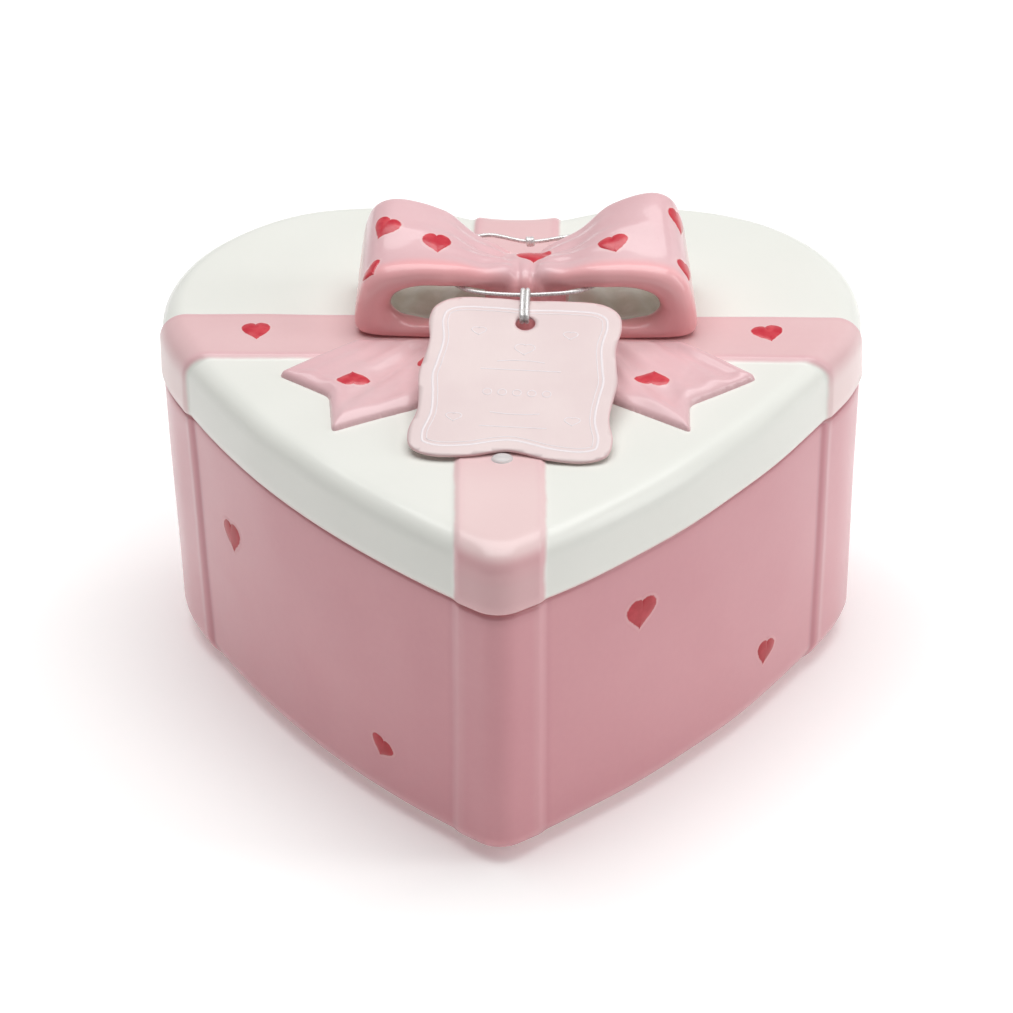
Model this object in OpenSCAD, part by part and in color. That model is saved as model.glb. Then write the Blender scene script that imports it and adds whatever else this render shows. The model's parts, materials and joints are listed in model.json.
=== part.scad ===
// Heart-shaped glazed ceramic box with a wind up music movement in its base.
// The table is the plane z = 0, the heart's tip points along -Y.

/* [Box] */
// Width across the two lobes of the heart
box_w = 150; // [146:1:156]
// Depth from the tip to the back of the lobes
box_d = 146; // [142:1:152]
// Height of the joint between base and lid above the table
joint_z = 62.6; // [62:0.2:66]
// Height of the lid from the joint to its flat top
lid_h = 14.4; // [13:0.2:16]
// Width of the raised ribbon bands
band_w = 18; // [14:1:22]
// Height of the raised ribbon bands
band_t = 0.8; // [0.4:0.1:1.2]
// Middle of the cross band in Y
band_y = 13.3; // [10:0.5:16]

/* [Bow and tag] */
// Thickness of the bow's ribbon
ribbon_t = 3; // [2.4:0.1:3.4]
// Reach of each loop from the middle of the knot
loop_reach = 36; // [33:1:38]
// Height of the loops' crest above the lid
loop_h = 19; // [17:0.5:21]
// Height of the tag
tag_h = 45; // [42:1:46]
// Thickness of the tag's card
tag_t = 0.6; // [0.4:0.1:0.8]
// Diameter of the elastic cord
cord_d = 0.9; // [0.7:0.1:1.0]
// Slope of the resting tag below level, in degrees
tag_slope = 13.4; // [12:0.1:13.6]

/* [Movement] */
// Distance of the winding axis from the middle of the box in X
key_x = -8; // [-10:1:-6]
// Distance of the winding axis from the middle of the box in Y
key_y = 14; // [12:1:16]
// Radius of the winding arbor
arbor_r = 2; // [1.8:0.1:2.1]
// Teeth of the contrate ring on the spring barrel
barrel_teeth = 42; // [42]
// Teeth of the pinion that the barrel drives
pinion_teeth = 14; // [14]
// Radius of the pinned cylinder
drum_r = 6.4; // [6:0.1:6.5]
// Number of notes on the comb
notes = 18; // [12:1:18]
// Turns of the mainspring
spring_turns = 7; // [5:1:8]
// Wings of the key from tip to tip
key_span = 26; // [22:1:28]

/* [Hidden] */

// Heart outline: lobe, flank, tip and cleft arcs that meet tangentially
lobe_x = 30.8;
lobe_r = box_w / 2 - lobe_x;
lobe_y = box_d / 2 - lobe_r + band_t / 2;
flank_r = 221;
tip_r = 6.4;
tip_y = -box_d / 2 + tip_r + band_t / 2;
least_tip_r = 1.5;
cleft_r = 28;
lobe_c = [lobe_x, lobe_y];
cleft_c = [0, lobe_y + sqrt(pow(lobe_r + cleft_r, 2) - pow(lobe_x, 2))];
tip_to_lobe = lobe_c - [0, tip_y];
tip_reach = flank_r - tip_r;
along_chord = (pow(norm(tip_to_lobe), 2) + pow(tip_reach, 2) - pow(flank_r - lobe_r, 2))
    / (2 * norm(tip_to_lobe));
chord = tip_to_lobe / norm(tip_to_lobe);
flank_c = [0, tip_y] + along_chord * chord
    + sqrt(pow(tip_reach, 2) - pow(along_chord, 2)) * [-chord.y, chord.x];

// Heights of the ceramic shells
pad_h = 1;
lid_z = joint_z + lid_h;
lid_under = lid_z - 4.6;
chamber_z = 42;
well_z = 46;
collar_z = joint_z + 3.8;
ledge_z = 16;
plate_t = 3;
foot_r = 6;
foot_in = 2.3;
pad_in = 10.2;
lid_edge_r = 3.8;

// Bow: middle of the knot and the ribbon's edges in Y
knot_x = 3.7;
bow_front = 11.4;
bow_back = 36.4;
seat_z = lid_z + band_t;
tail_t = 2.4;

// Tag hinge: the middle of the cord's straight front strand
hitch_y = 10.8;
hitch_z = 89.2;
hitch_x = 3.4;
tag_gap = 1.6;
hole_v = 8.8;
hole_r = 2.1;
tag_turn = 3.5;

// Movement, with heights above the table and places from the winding axis
bed_z = ledge_z;
bed_t = 2;
bed_top = bed_z + bed_t;
barrel_z = 20.3;
barrel_h = 7;
barrel_top = barrel_z + barrel_h;
barrel_r = 13.8;
fit = 0.05;
big_module = 0.6;
barrel_pitch_r = big_module * barrel_teeth / 2;
pinion_pitch_r = big_module * pinion_teeth / 2;
crown_h = 1.2;
axis_z = barrel_top + 0.65 + pinion_pitch_r;
drum_x = 18;
drum_len = 16;
shaft_r = 0.8;
note_pitch = 0.85;
small_module = 0.4;
wheel_teeth = 40;
leaf_teeth = 8;
worm_teeth = 20;
wheel_r = small_module * wheel_teeth / 2;
leaf_r = small_module * leaf_teeth / 2;
worm_wheel_r = small_module * worm_teeth / 2;
wheel_x = 34.6;
governor_drop = 3.4;
governor_y = sqrt(pow(wheel_r + leaf_r, 2) - pow(governor_drop, 2));
governor_z = axis_z - governor_drop;
governor_turn = atan2(governor_y, governor_drop);
fly_x = 40;
worm_r = 1.2;
worm_depth = 0.45;
worm_pitch = PI * small_module;
fly_y = governor_y + worm_wheel_r + 0.4 + worm_r - 0.05;
pivot_r = 0.5;
rod_x = 54;
rod_y = key_y + fly_y;
rod_r = 1;
click_p = [-9, -14.5];
click_nose = [-6.2, -0.3];
click_t = 1.2;
screw_places = [[-13, -24], [-13, 18], [42, -15], [30, 17]];

function arc(c, r, a0, a1, n) =
    [for (i = [0:n - 1]) let (a = a0 + (a1 - a0) * i / n) c + r * [cos(a), sin(a)]];

function angle_of(v) = atan2(v.y, v.x);

function unit(v) = v / norm(v);

// Centre of the tip arc of a heart that is grown by g
function tip_radius(g) = max(tip_r + g, least_tip_r);
function tip_centre(g) =
    [0, flank_c.y - sqrt(pow(flank_r + g - tip_radius(g), 2) - pow(flank_c.x, 2))];

// Right half of the heart, from the tip to just before the cleft
function half_heart(g) =
    let (t = tip_centre(g), a_tip = angle_of(t - flank_c), a_lobe = angle_of(lobe_c - flank_c),
        a_join = angle_of(cleft_c - lobe_c), a_cleft = angle_of(lobe_c - cleft_c))
    concat(
        arc(t, tip_radius(g), -90, a_tip, 4),
        arc(flank_c, flank_r + g, a_tip, a_lobe, 10),
        arc(lobe_c, lobe_r + g, a_lobe, a_join, 15),
        arc(cleft_c, cleft_r - g, a_cleft, -90, 4));

// The whole heart outline grown by g
function heart(g) =
    let (h = half_heart(g), n = len(h))
    concat(h, [cleft_c - [0, cleft_r - g]], [for (i = [n - 1:-1:1]) [-h[i].x, h[i].y]]);

// How much of the ribbon's relief stands at a point: 1 on a band, 0 off it
function soft(d) = min(1, max(0, (band_w / 2 + 0.8 - d) / 1.6));
function on_band(p) = max(soft(abs(p.x)), soft(abs(p.y - band_y)));

// One ring of a shell: g grows the heart, z is its height, share is how far its relief stands out
// and lift how far it stands up
function shell_ring(g, z, share = 0, lift = 0) =
    let (a = heart(g), b = heart(g + band_t * share))
    [for (i = [0:len(a) - 1]) let (s = on_band(a[i]), p = a[i] + (b[i] - a[i]) * s)
        [p.x, p.y, z + band_t * lift * s]];

// Closed solid through a list of rings, with flat ends
module loft(rings) {
    n = len(rings[0]);
    last = len(rings) - 1;
    sides = [for (i = [0:last - 1]) for (j = [0:n - 1]) let (k = (j + 1) % n)
        each [[i * n + j, (i + 1) * n + j, (i + 1) * n + k], [i * n + j, (i + 1) * n + k, i * n + k]]];
    ends = [[for (j = [0:n - 1]) j], [for (j = [n - 1:-1:0]) last * n + j]];
    polyhedron(points = [for (ring = rings) each ring], faces = concat(sides, ends));
}

// Closed loop of rings without ends
module closed_loft(rings) {
    n = len(rings[0]);
    m = len(rings);
    polyhedron(points = [for (ring = rings) each ring],
        faces = [for (i = [0:m - 1]) for (j = [0:n - 1]) let (k = (j + 1) % n, u = (i + 1) % m)
            each [[i * n + j, u * n + j, u * n + k], [i * n + j, u * n + k, i * n + k]]]);
}

// Catmull-Rom point between b and c
function bend(a, b, c, d, t) = 0.5 * (2 * b + (c - a) * t + (2 * a - 5 * b + 4 * c - d) * t * t
    + (3 * b - a - 3 * c + d) * t * t * t);

function smooth_open(p, n) =
    let (last = len(p) - 1)
    concat([for (i = [0:last - 1]) for (k = [0:n - 1])
        bend(p[max(i - 1, 0)], p[i], p[i + 1], p[min(i + 2, last)], k / n)], [p[last]]);

function smooth_closed(p, n) =
    let (m = len(p))
    [for (i = [0:m - 1]) for (k = [0:n - 1])
        bend(p[(i + m - 1) % m], p[i], p[(i + 1) % m], p[(i + 2) % m], k / n)];

// Round ring about a point of a cord, square to its direction
function cord_ring(p, t, ref, r, n) =
    let (s = unit(cross(t, ref)), u = cross(t, s))
    [for (k = [0:n - 1]) p + r * (cos(360 * k / n) * s + sin(360 * k / n) * u)];

module closed_cord(path, ref, r, n = 8) {
    m = len(path);
    closed_loft([for (i = [0:m - 1])
        cord_ring(path[i], unit(path[(i + 1) % m] - path[(i + m - 1) % m]), ref, r, n)]);
}

module open_cord(path, ref, r, n = 6) {
    last = len(path) - 1;
    loft([for (i = [0:last])
        cord_ring(path[i], unit(path[min(i + 1, last)] - path[max(i - 1, 0)]), ref, r, n)]);
}

// Toothed outline: half widths are in mm at the root and at the tip
module toothed(teeth, root_r, tip_r, root_half, tip_half) {
    polygon([for (i = [0:teeth - 1]) let (a = 360 * i / teeth, b = root_half / root_r * 180 / PI,
            c = tip_half / tip_r * 180 / PI)
        each [root_r * [cos(a - b), sin(a - b)], tip_r * [cos(a - c), sin(a - c)],
            tip_r * [cos(a + c), sin(a + c)], root_r * [cos(a + b), sin(a + b)]]]);
}

module at_key(x = 0, y = 0, z = 0) {
    translate([key_x + x, key_y + y, z]) children();
}

// Turns a solid's axis from Z to X, at a place from the winding axis
module along_x(x, y, z) {
    at_key(x, y, z) rotate([0, 90, 0]) children();
}

module ring(outer_r, inner_r, h) {
    difference() {
        cylinder(h = h, r = outer_r, $fn = 96);
        translate([0, 0, -1]) cylinder(h = h + 2, r = inner_r, $fn = 48);
    }
}

// Slotted cheese-head screw that stands on z = 0 with its shank pointing down
module screw(head_r, head_h, shank_r, shank_h) {
    difference() {
        union() {
            cylinder(h = head_h, r = head_r, $fn = 32);
            translate([0, 0, -shank_h]) cylinder(h = shank_h + 0.1, r = shank_r, $fn = 24);
        }
        translate([-head_r - 1, -head_r * 0.14, head_h * 0.55])
            cube([2 * head_r + 2, head_r * 0.28, head_h]);
    }
}

// ---- ceramic box ----

// Pink base: well above, chamber for the movement below, opened downwards
module base_shell() {
    outer = [for (a = [0:18:90]) [-foot_in - foot_r * (1 - sin(a)), pad_h + foot_r * (1 - cos(a)),
        sin(a)]];
    rings = concat(
        [[-18, chamber_z, 0], [-16.2, chamber_z - 1, 0], [-15.6, chamber_z - 3, 0],
            [-15.6, ledge_z, 0], [-12.6, ledge_z, 0], [-12.6, 1.6, 0], [-12.1, pad_h, 0]],
        outer,
        [[-1.3, 40, 1], [-0.6, joint_z - 0.8, 1], [-0.9, joint_z - 0.2, 0.6], [-1.4, joint_z, 0],
            [-4.9, joint_z, 0], [-4.9, collar_z - 0.8, 0], [-5.5, collar_z, 0], [-7.3, collar_z, 0],
            [-7.9, collar_z - 0.8, 0], [-7.9, well_z + 4, 0], [-9.1, well_z + 1.2, 0],
            [-12, well_z, 0]]);
    color("#cf9299") difference() {
        loft([for (p = rings) shell_ring(p[0], p[1], p[2])]);
        translate([rod_x, rod_y, chamber_z - 1]) cylinder(h = 6, r = 2.3, $fn = 32);
    }
}

// Soft pads that the foot stands on: one near the tip, one under each lobe
module foot_pads() {
    lobe_pad = lobe_c + (lobe_r - pad_in) * [cos(50), sin(50)];
    color("gainsboro") for (p = [heart(-pad_in)[0], lobe_pad, [-lobe_pad.x, lobe_pad.y]])
        translate(p) cylinder(h = pad_h, r = 1.8, $fn = 32);
}

module bands(z, h, grow) {
    for (size = [[band_w, 2 * box_d, 0], [2 * box_w, band_w, band_y]])
        intersection() {
            translate([0, 0, z]) linear_extrude(h) polygon(heart(grow));
            translate([-size.x / 2, size[2] - size.y / 2, z - 1]) cube([size.x, size.y, h + 2]);
        }
}

// White lid with the raised cross of ribbon and the seat of the bow
module lid() {
    skirt = [[-10, lid_under, 0, 0], [-6.4, lid_under, 0, 0], [-5, lid_under - 1, 0, 0],
        [-4.4, lid_under - 3, 0, 0], [-4.4, joint_z, 0, 0], [-1, joint_z, 0, 0],
        [-0.3, joint_z + 0.3, 0.6, 0], [0, joint_z + 1, 1, 0]];
    edge = [for (a = [0:18:90]) [-lid_edge_r * (1 - cos(a)), lid_z - lid_edge_r * (1 - sin(a)),
        cos(a), sin(a)]];
    color("#ecece6") loft([for (p = concat(skirt, edge, [[-7, lid_z, 0, 0]]))
        shell_ring(p[0], p[1], p[2], p[3])]);
    color("#e9c3c9") difference() {
        union() {
            bands(lid_z - 0.5, band_t + 0.5, -lid_edge_r);
            translate([knot_x - loop_reach + 1, bow_front, lid_z - 0.5])
                cube([2 * loop_reach - 2, bow_back - bow_front, band_t + 0.5]);
        }
        translate([0, 0, lid_z]) linear_extrude(5) tails_outline();
    }
}

// Swallow-tailed ends, seen from above
module tails_outline() {
    for (p = [
            [[-48, -2.7], [-32, 11.4], [-14, 11.4], [0, 4], [-18, -16], [-35.2, -25.4], [-36.6, -11.3]],
            [[53, -2.7], [39, -14], [39.4, -24.8], [22, -12.6], [9, 4], [21, 11.4], [37.4, 11.4]]])
        polygon(p);
}

module bow_tails() {
    color("#e3b4bc") translate([0, 0, lid_z]) linear_extrude(tail_t) tails_outline();
}

// Middle line of one loop's ribbon: distance from the knot's middle, height above the seat
loop_line = [[3, 11.6], [8, 12.8], [14, 15], [20, 17.2], [25.5, 17.2], [29.6, 14.6], [32, 10],
    [33.6, 5], [32.6, 2], [28, 1.5], [20, 1.5], [11, 1.5], [3, 2]];

// One loop of ribbon, wider away from the knot and higher at its back edge
module bow_loop() {
    line = smooth_open(loop_line, 2);
    last = len(line) - 1;
    half = ribbon_t / 2;
    loft([for (i = [0:last]) let (p = line[i], open = min(1, max(0, (p.x - 4) / 13)),
            t = unit(line[min(i + 1, last)] - line[max(i - 1, 0)]), n = [-t.y, t.x],
            front = bow_front + 3.4 * (1 - open), back = bow_back - 5 * (1 - open))
        [for (c = [[front, 0], [front + 1, -half], [back - 1, -half], [back, 0], [back - 1, half],
                [front + 1, half]])
            let (depth = (c[0] - front) / (back - front), u = p.x + n.x * c[1], z = p.y + n.y * c[1])
            [loop_reach / 36 * u * (1.02 - 0.07 * depth), c[0],
                seat_z + max(0, loop_h / 19 * z * (1 + 0.09 * depth))]]]);
}

// Knot: a pinched band over the middle, wider at its foot
module bow_knot() {
    profile = [[31, 0], [31.4, 4], [31, 9], [29, 12.4], [25, 13.6], [20, 13.8], [16.4, 12.8],
        [14.6, 10], [14.4, 5], [15.4, 0]];
    loft([for (s = [-7, -5.6, 0, 5.6, 7]) let (k = 1 - 0.012 * s * s * (abs(s) > 6 ? 1 : 0.35))
        [for (p = profile) [knot_x + s, 23 + (p.x - 23) * k, seat_z + p.y * k]]]);
}

module bow() {
    color("#e6b9c1") {
        for (side = [0, 1]) translate([knot_x, 0, 0]) mirror([side, 0, 0]) bow_loop();
        bow_knot();
    }
}

// ---- gift tag ----

// Half of the tag's outline: distance from its middle line, distance down from its top edge
tag_side = [[7, 0], [15, 0.3], [19.2, 2.8], [20.3, 7], [19.6, 12.5], [20.2, 18], [20.8, 22.5],
    [20.2, 28], [20, 33], [21.2, 38.5], [20.2, 43], [15.5, 45], [8.5, 44.6], [3, 43.2]];

// Moves a flat shape drawn downwards from the hitch onto the slope of the resting tag
module on_tag() {
    translate([hitch_x, hitch_y, hitch_z]) rotate([tag_slope, 0, 0]) children();
}

module gift_tag() {
    n = len(tag_side) - 1;
    scale_v = tag_h / 45;
    outline = concat([[0, 0.3]], tag_side, [[0, 42.7]],
        [for (i = [n:-1:0]) [-tag_side[i].x, tag_side[i].y]]);
    color("#f0d9dc") on_tag() difference() {
        translate([0, -hole_v, -tag_t / 2]) rotate([0, 0, -tag_turn])
            translate([0, hole_v - tag_gap, 0]) linear_extrude(tag_t)
                polygon(smooth_closed([for (p = outline) [p.x, -p.y * scale_v]], 2));
        translate([0, -hole_v, -2]) cylinder(h = 4, r = hole_r, $fn = 32);
    }
}

// Doubled loop of cord from the hole to the front strand, which it turns about
module tag_hitch() {
    gap = cord_d + 0.12;
    reach = hole_v - hole_r - 0.1;
    path = concat(
        [for (a = [-90:30:90]) [0, gap * cos(a), gap * sin(a)]],
        [for (a = [90:30:270]) [0, -reach + gap * cos(a), gap * sin(a)]]);
    color("silver") on_tag() for (side = [-1, 1])
        translate([side * (cord_d / 2 + 0.03), 0, 0]) closed_cord(path, [1, 0, 0], cord_d / 2);
}

// Route of the elastic: across the front, back through the right loop, across the back with its
// knot, and forward through the left loop
cord_route = [[-9, 10.8, 89.2], [-3, 10.8, 89.2], [3, 10.8, 89.2], [9, 10.8, 89.2], [16, 10.8, 89.2],
    [19, 13, 88.8], [20, 20, 88], [20, 28, 87.6], [19, 33.4, 88.4], [14, 35.2, 89.6],
    [4, 35.2, 88.8], [-5, 35.2, 90], [-11.4, 33.4, 88.4], [-12.6, 28, 87.6], [-12.6, 20, 88],
    [-11.8, 13, 88.8]];

module tag_cord() {
    knot_r = 1.1;
    color("silver") {
        closed_cord(smooth_closed(cord_route, 4), [0, 0, 1], cord_d / 2);
        loft([for (a = [-75:30:75]) cord_ring([4 + knot_r * sin(a), 35.2, 88.8], [1, 0, 0],
            [0, 0, 1], knot_r * cos(a), 10)]);
    }
}

// ---- movement ----

module bottom_plate() {
    color("white") difference() {
        translate([0, 0, ledge_z - plate_t]) linear_extrude(plate_t) polygon(heart(-12.9));
        at_key(0, 0, ledge_z - plate_t - 1) cylinder(h = plate_t + 2, r = 4.5, $fn = 48);
        for (p = screw_places) at_key(p.x, p.y, ledge_z - plate_t - 1)
            cylinder(h = plate_t + 2, r = 1.3, $fn = 24);
    }
}

module plate_screws() {
    color("silver") for (p = screw_places) at_key(p.x, p.y, ledge_z - plate_t)
        mirror([0, 0, 1]) screw(2.4, 1.5, 1.25, plate_t + bed_t);
}

// Upright bearing plate with a round top, bored for a shaft along X
module upright(x, t, y, half, low, top, bore) {
    difference() {
        union() {
            at_key(x, y - half, low) cube([t, 2 * half, top - low]);
            along_x(x, y, top) cylinder(h = t, r = half, $fn = 48);
        }
        along_x(x - 1, y, top) cylinder(h = t + 2, r = bore, $fn = 32);
    }
}

bridge_y = 18.9;
comb_y = -27;
comb_seat_z = 30.6;
comb_x = 16.6;
comb_len = 18.8;
comb_screw_places = [[comb_x + 4, comb_y + 3.6], [comb_x + comb_len - 4, comb_y + 3.6]];
governor_screw_places = [[45.2, 8], [45.2, 17]];

// Cast frame of the movement with the cylinder's two bearings and the comb's seat
module bedplate() {
    color("goldenrod") difference() {
        union() {
            at_key(-17, -20, bed_z) cube([64, 41.5, bed_t]);
            at_key(-17, -28, bed_z) cube([54, 9, bed_t]);
            at_key(comb_x, comb_y, bed_top - 0.1) cube([comb_len, 7.2, comb_seat_z - bed_top + 0.1]);
            upright(14.6, 2, 0, 3, bed_z, axis_z, shaft_r + fit);
            upright(36.6, 1.6, 0, 3, bed_z, axis_z, shaft_r + fit);
        }
        at_key(0, 0, bed_z - 1) cylinder(h = bed_t + 2, r = arbor_r + fit, $fn = 48);
        for (p = concat(screw_places, [click_p]))
            at_key(p.x, p.y, bed_z - 1) cylinder(h = bed_t + 2, r = 1.3, $fn = 24);
        for (p = concat(governor_screw_places, [[0, -bridge_y], [0, bridge_y]]))
            at_key(p.x, p.y, bed_z - 1) cylinder(h = bed_t + 2, r = 0.85, $fn = 24);
        for (p = comb_screw_places) at_key(p.x, p.y, comb_seat_z - 6) cylinder(h = 8, r = 0.85, $fn = 24);
    }
}

// Strap over the barrel with the upper bearing of the winding arbor
module barrel_bridge() {
    half = [[0, 30.6], [16.6, 30.6], [16.6, bed_top + 1.4], [21, bed_top + 1.4], [21, bed_top],
        [15.2, bed_top], [15.2, 29.2], [0, 29.2]];
    color("darkgoldenrod") difference() {
        at_key(-4, 0, 0) for (side = [0, 1]) mirror([0, side, 0])
            rotate([90, 0, 90]) linear_extrude(8) polygon(half);
        at_key(0, 0, 28) cylinder(h = 4, r = 1.2 + fit, $fn = 32);
        for (y = [-bridge_y, bridge_y]) at_key(0, y, bed_top - 1) cylinder(h = 4, r = 0.85, $fn = 24);
    }
}

module bridge_screws() {
    color("silver") for (y = [-bridge_y, bridge_y]) at_key(0, y, bed_top + 1.4)
        screw(1.6, 1, 0.8, bed_t + 1.4);
}

// Drum of the mainspring with a contrate ring on its upper rim
module spring_barrel() {
    color("#c9a45c") {
        at_key(0, 0, barrel_z) difference() {
            union() {
                cylinder(h = barrel_h, r = barrel_r, $fn = 96);
                for (i = [0:barrel_teeth - 1]) rotate([0, 0, 360 * i / barrel_teeth])
                    translate([barrel_pitch_r - 1, 0, barrel_h]) rotate([90, 0, 90]) linear_extrude(2)
                        polygon([[-0.42, -0.2], [0.42, -0.2], [0.42, 0], [0.18, crown_h],
                            [-0.18, crown_h], [-0.42, 0]]);
            }
            translate([0, 0, -1]) cylinder(h = barrel_h, r = 11.6, $fn = 96);
            translate([0, 0, -1]) cylinder(h = 1.8, r = 12.4, $fn = 96);
            cylinder(h = barrel_h + 2, r = arbor_r + fit, $fn = 48);
        }
    }
}

module barrel_cap() {
    color("#d8b872") at_key(0, 0, barrel_z) ring(12.4, arbor_r + fit, 0.8);
}

// Spiral strip wound from the arbor to the drum's wall
module mainspring() {
    steps = 24 * spring_turns;
    inner = 3.4;
    outer = 11.3;
    line = [for (i = [0:steps]) let (a = 360 * spring_turns * i / steps,
        r = inner + (outer - inner) * i / steps) [a, r]];
    color("steelblue") at_key(0, 0, barrel_z + 1.3) linear_extrude(4.4)
        polygon(concat([for (p = line) p[1] * [cos(p[0]), sin(p[0])]],
            [for (i = [steps:-1:0]) (line[i][1] - 0.35) * [cos(line[i][0]), sin(line[i][0])]]));
}

module winding_arbor() {
    color("gray") at_key() {
        translate([0, 0, 5]) cylinder(h = 8, r = 1.6, $fn = 32);
        translate([0, 0, 12.4]) cylinder(h = 28.4 - 12.4, r = arbor_r, $fn = 48);
        translate([0, 0, 28.3]) cylinder(h = 2.3, r = 1.2, $fn = 32);
        translate([0, 0, 23.8]) rotate([0, 90, 0]) cylinder(h = 2.9, r = 0.4, $fn = 16);
    }
}

ratchet_teeth = 24;
ratchet_z = 18.4;
ratchet_t = 1.3;
ratchet_r = 6.6;

module ratchet_wheel() {
    color("darkgray") at_key(0, 0, ratchet_z) difference() {
        linear_extrude(ratchet_t) polygon([for (i = [0:ratchet_teeth - 1])
            let (a = 360 * i / ratchet_teeth)
            each [ratchet_r * [cos(a), sin(a)], (ratchet_r - 0.9) * [cos(a + 1), sin(a + 1)]]]);
        translate([0, 0, -1]) cylinder(h = 4, r = arbor_r + 0.02, $fn = 48);
    }
}

// Butterfly key with a hub that screws onto the arbor's end
module winding_key() {
    wing = (key_span - 8) / 2;
    color("silver") at_key() difference() {
        union() {
            translate([0, 0, 2.8]) cylinder(h = 9.4, r = 3.2, $fn = 48);
            translate([0, 1, 6.4]) rotate([90, 0, 0]) linear_extrude(2) union() {
                square([2 * wing, 5.6], center = true);
                for (side = [-1, 1]) translate([side * wing, 0]) circle(r = 4, $fn = 48);
            }
        }
        translate([0, 0, 4.9]) cylinder(h = 10, r = 1.62, $fn = 32);
        for (side = [-1, 1]) translate([side * wing, 3, 6.4]) rotate([90, 0, 0])
            cylinder(h = 6, r = 1.8, $fn = 32);
    }
}

// Pawl whose nose lies against the steep face of one tooth of the ratchet wheel
module click() {
    color("dimgray") at_key(0, 0, ratchet_z) difference() {
        union() {
            translate(click_p) cylinder(h = click_t, r = 2.4, $fn = 48);
            linear_extrude(click_t) polygon([[-5.95, -0.3], [-7.3, -0.3], [-9.8, -6], click_p - [2.4, 0],
                click_p + [2.3, -0.6], [-7.3, -6], [-6.55, -1.6]]);
        }
        translate([click_p.x, click_p.y, -1]) cylinder(h = 4, r = 1.25 + fit, $fn = 32);
    }
}

module click_screw() {
    shank_top = ratchet_z + 2.6;
    color("silver") at_key(click_p.x, click_p.y, shank_top) screw(2, 1, 1.25, shank_top - bed_z);
}

// Hairpin spring round the click's screw, with one leg on the click and one on the bed
module click_spring() {
    wire_r = 0.28;
    coil_r = 1.75;
    color("lightsteelblue") at_key(click_p.x, click_p.y, ratchet_z + click_t + 0.05)
        rotate([0, 0, angle_of(click_nose - click_p)]) {
            for (z = [wire_r, 3 * wire_r]) translate([0, 0, z]) rotate_extrude($fn = 48)
                translate([coil_r, 0]) circle(r = wire_r, $fn = 16);
            translate([0, coil_r, wire_r]) rotate([0, 90, 0]) cylinder(h = 3.4, r = wire_r, $fn = 16);
            translate([0, coil_r, 3 * wire_r]) rotate([0, -90, 0])
                cylinder(h = 4.5, r = wire_r, $fn = 16);
        }
}

// ---- cylinder and comb ----

module cylinder_arbor() {
    color("gray") {
        along_x(10.8, 0, axis_z) cylinder(h = 27.8, r = shaft_r, $fn = 32);
        along_x(11.7, 0, axis_z) rotate([0, 0, 180 / pinion_teeth]) linear_extrude(1.8)
            toothed(pinion_teeth, pinion_pitch_r - 0.7, pinion_pitch_r + 0.55, 0.36, 0.16);
    }
}

// Brass drum with a row of pins for each note
module pinned_cylinder() {
    rows = [for (k = [0:notes - 1]) for (i = [0:4]) [k, 72 * i + 222.5 * k + 31 * ((i * k) % 3)]];
    start = drum_x + (drum_len - note_pitch * (notes - 1)) / 2;
    color("gold") difference() {
        union() {
            along_x(drum_x, 0, axis_z) cylinder(h = drum_len, r = drum_r, $fn = 96);
            for (p = rows) at_key(start + note_pitch * p[0], 0, axis_z) rotate([p[1], 0, 0])
                translate([0, 0, drum_r - 0.3]) cylinder(h = 1.2, r = 0.2, $fn = 6);
        }
        along_x(drum_x + 0.8, 0, axis_z) ring(drum_r - 1, 2, drum_len - 1.6);
        along_x(drum_x - 1, 0, axis_z) cylinder(h = drum_len + 2, r = shaft_r + 0.02, $fn = 32);
    }
}

module cylinder_wheel() {
    color("#c9a45c") difference() {
        union() {
            along_x(wheel_x, 0, axis_z) rotate([0, 0, governor_turn]) linear_extrude(1.2)
                toothed(wheel_teeth, wheel_r - 0.5, wheel_r + 0.38, 0.26, 0.12);
            along_x(wheel_x - 0.4, 0, axis_z) cylinder(h = 2, r = 2.4, $fn = 48);
        }
        along_x(wheel_x - 2, 0, axis_z) cylinder(h = 6, r = shaft_r + 0.02, $fn = 32);
    }
}

// Steel comb: one tooth for each note, the bass teeth longest
module comb() {
    tip_y = -drum_r - 1.1;
    root_y = comb_y + 7.2;
    start = drum_x + (drum_len - note_pitch * (notes - 1)) / 2;
    color("lightsteelblue") difference() {
        union() {
            at_key(comb_x, comb_y, axis_z - 0.5) cube([comb_len, 7.2, 1]);
            at_key(start - note_pitch / 2, root_y - 1, axis_z - 0.5)
                cube([note_pitch * notes, 1 + tip_y - root_y, 1]);
        }
        for (k = [0:notes]) at_key(start + note_pitch * (k - 0.5) - 0.12, root_y + 0.16 * k,
            axis_z - 1) cube([0.24, 20, 2]);
        for (p = comb_screw_places) at_key(p.x, p.y, axis_z - 2) cylinder(h = 4, r = 0.85, $fn = 24);
    }
}

module comb_spacer() {
    color("gold") difference() {
        at_key(comb_x, comb_y, comb_seat_z) cube([comb_len, 7.2, axis_z - 0.5 - comb_seat_z]);
        for (p = comb_screw_places) at_key(p.x, p.y, comb_seat_z - 1) cylinder(h = 4, r = 0.85, $fn = 24);
    }
}

module comb_screws() {
    color("silver") for (p = comb_screw_places) at_key(p.x, p.y, axis_z + 0.5) screw(1.9, 1.2, 0.8, 6.5);
}

// ---- governor ----

bracket_top = 39.4;

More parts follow.
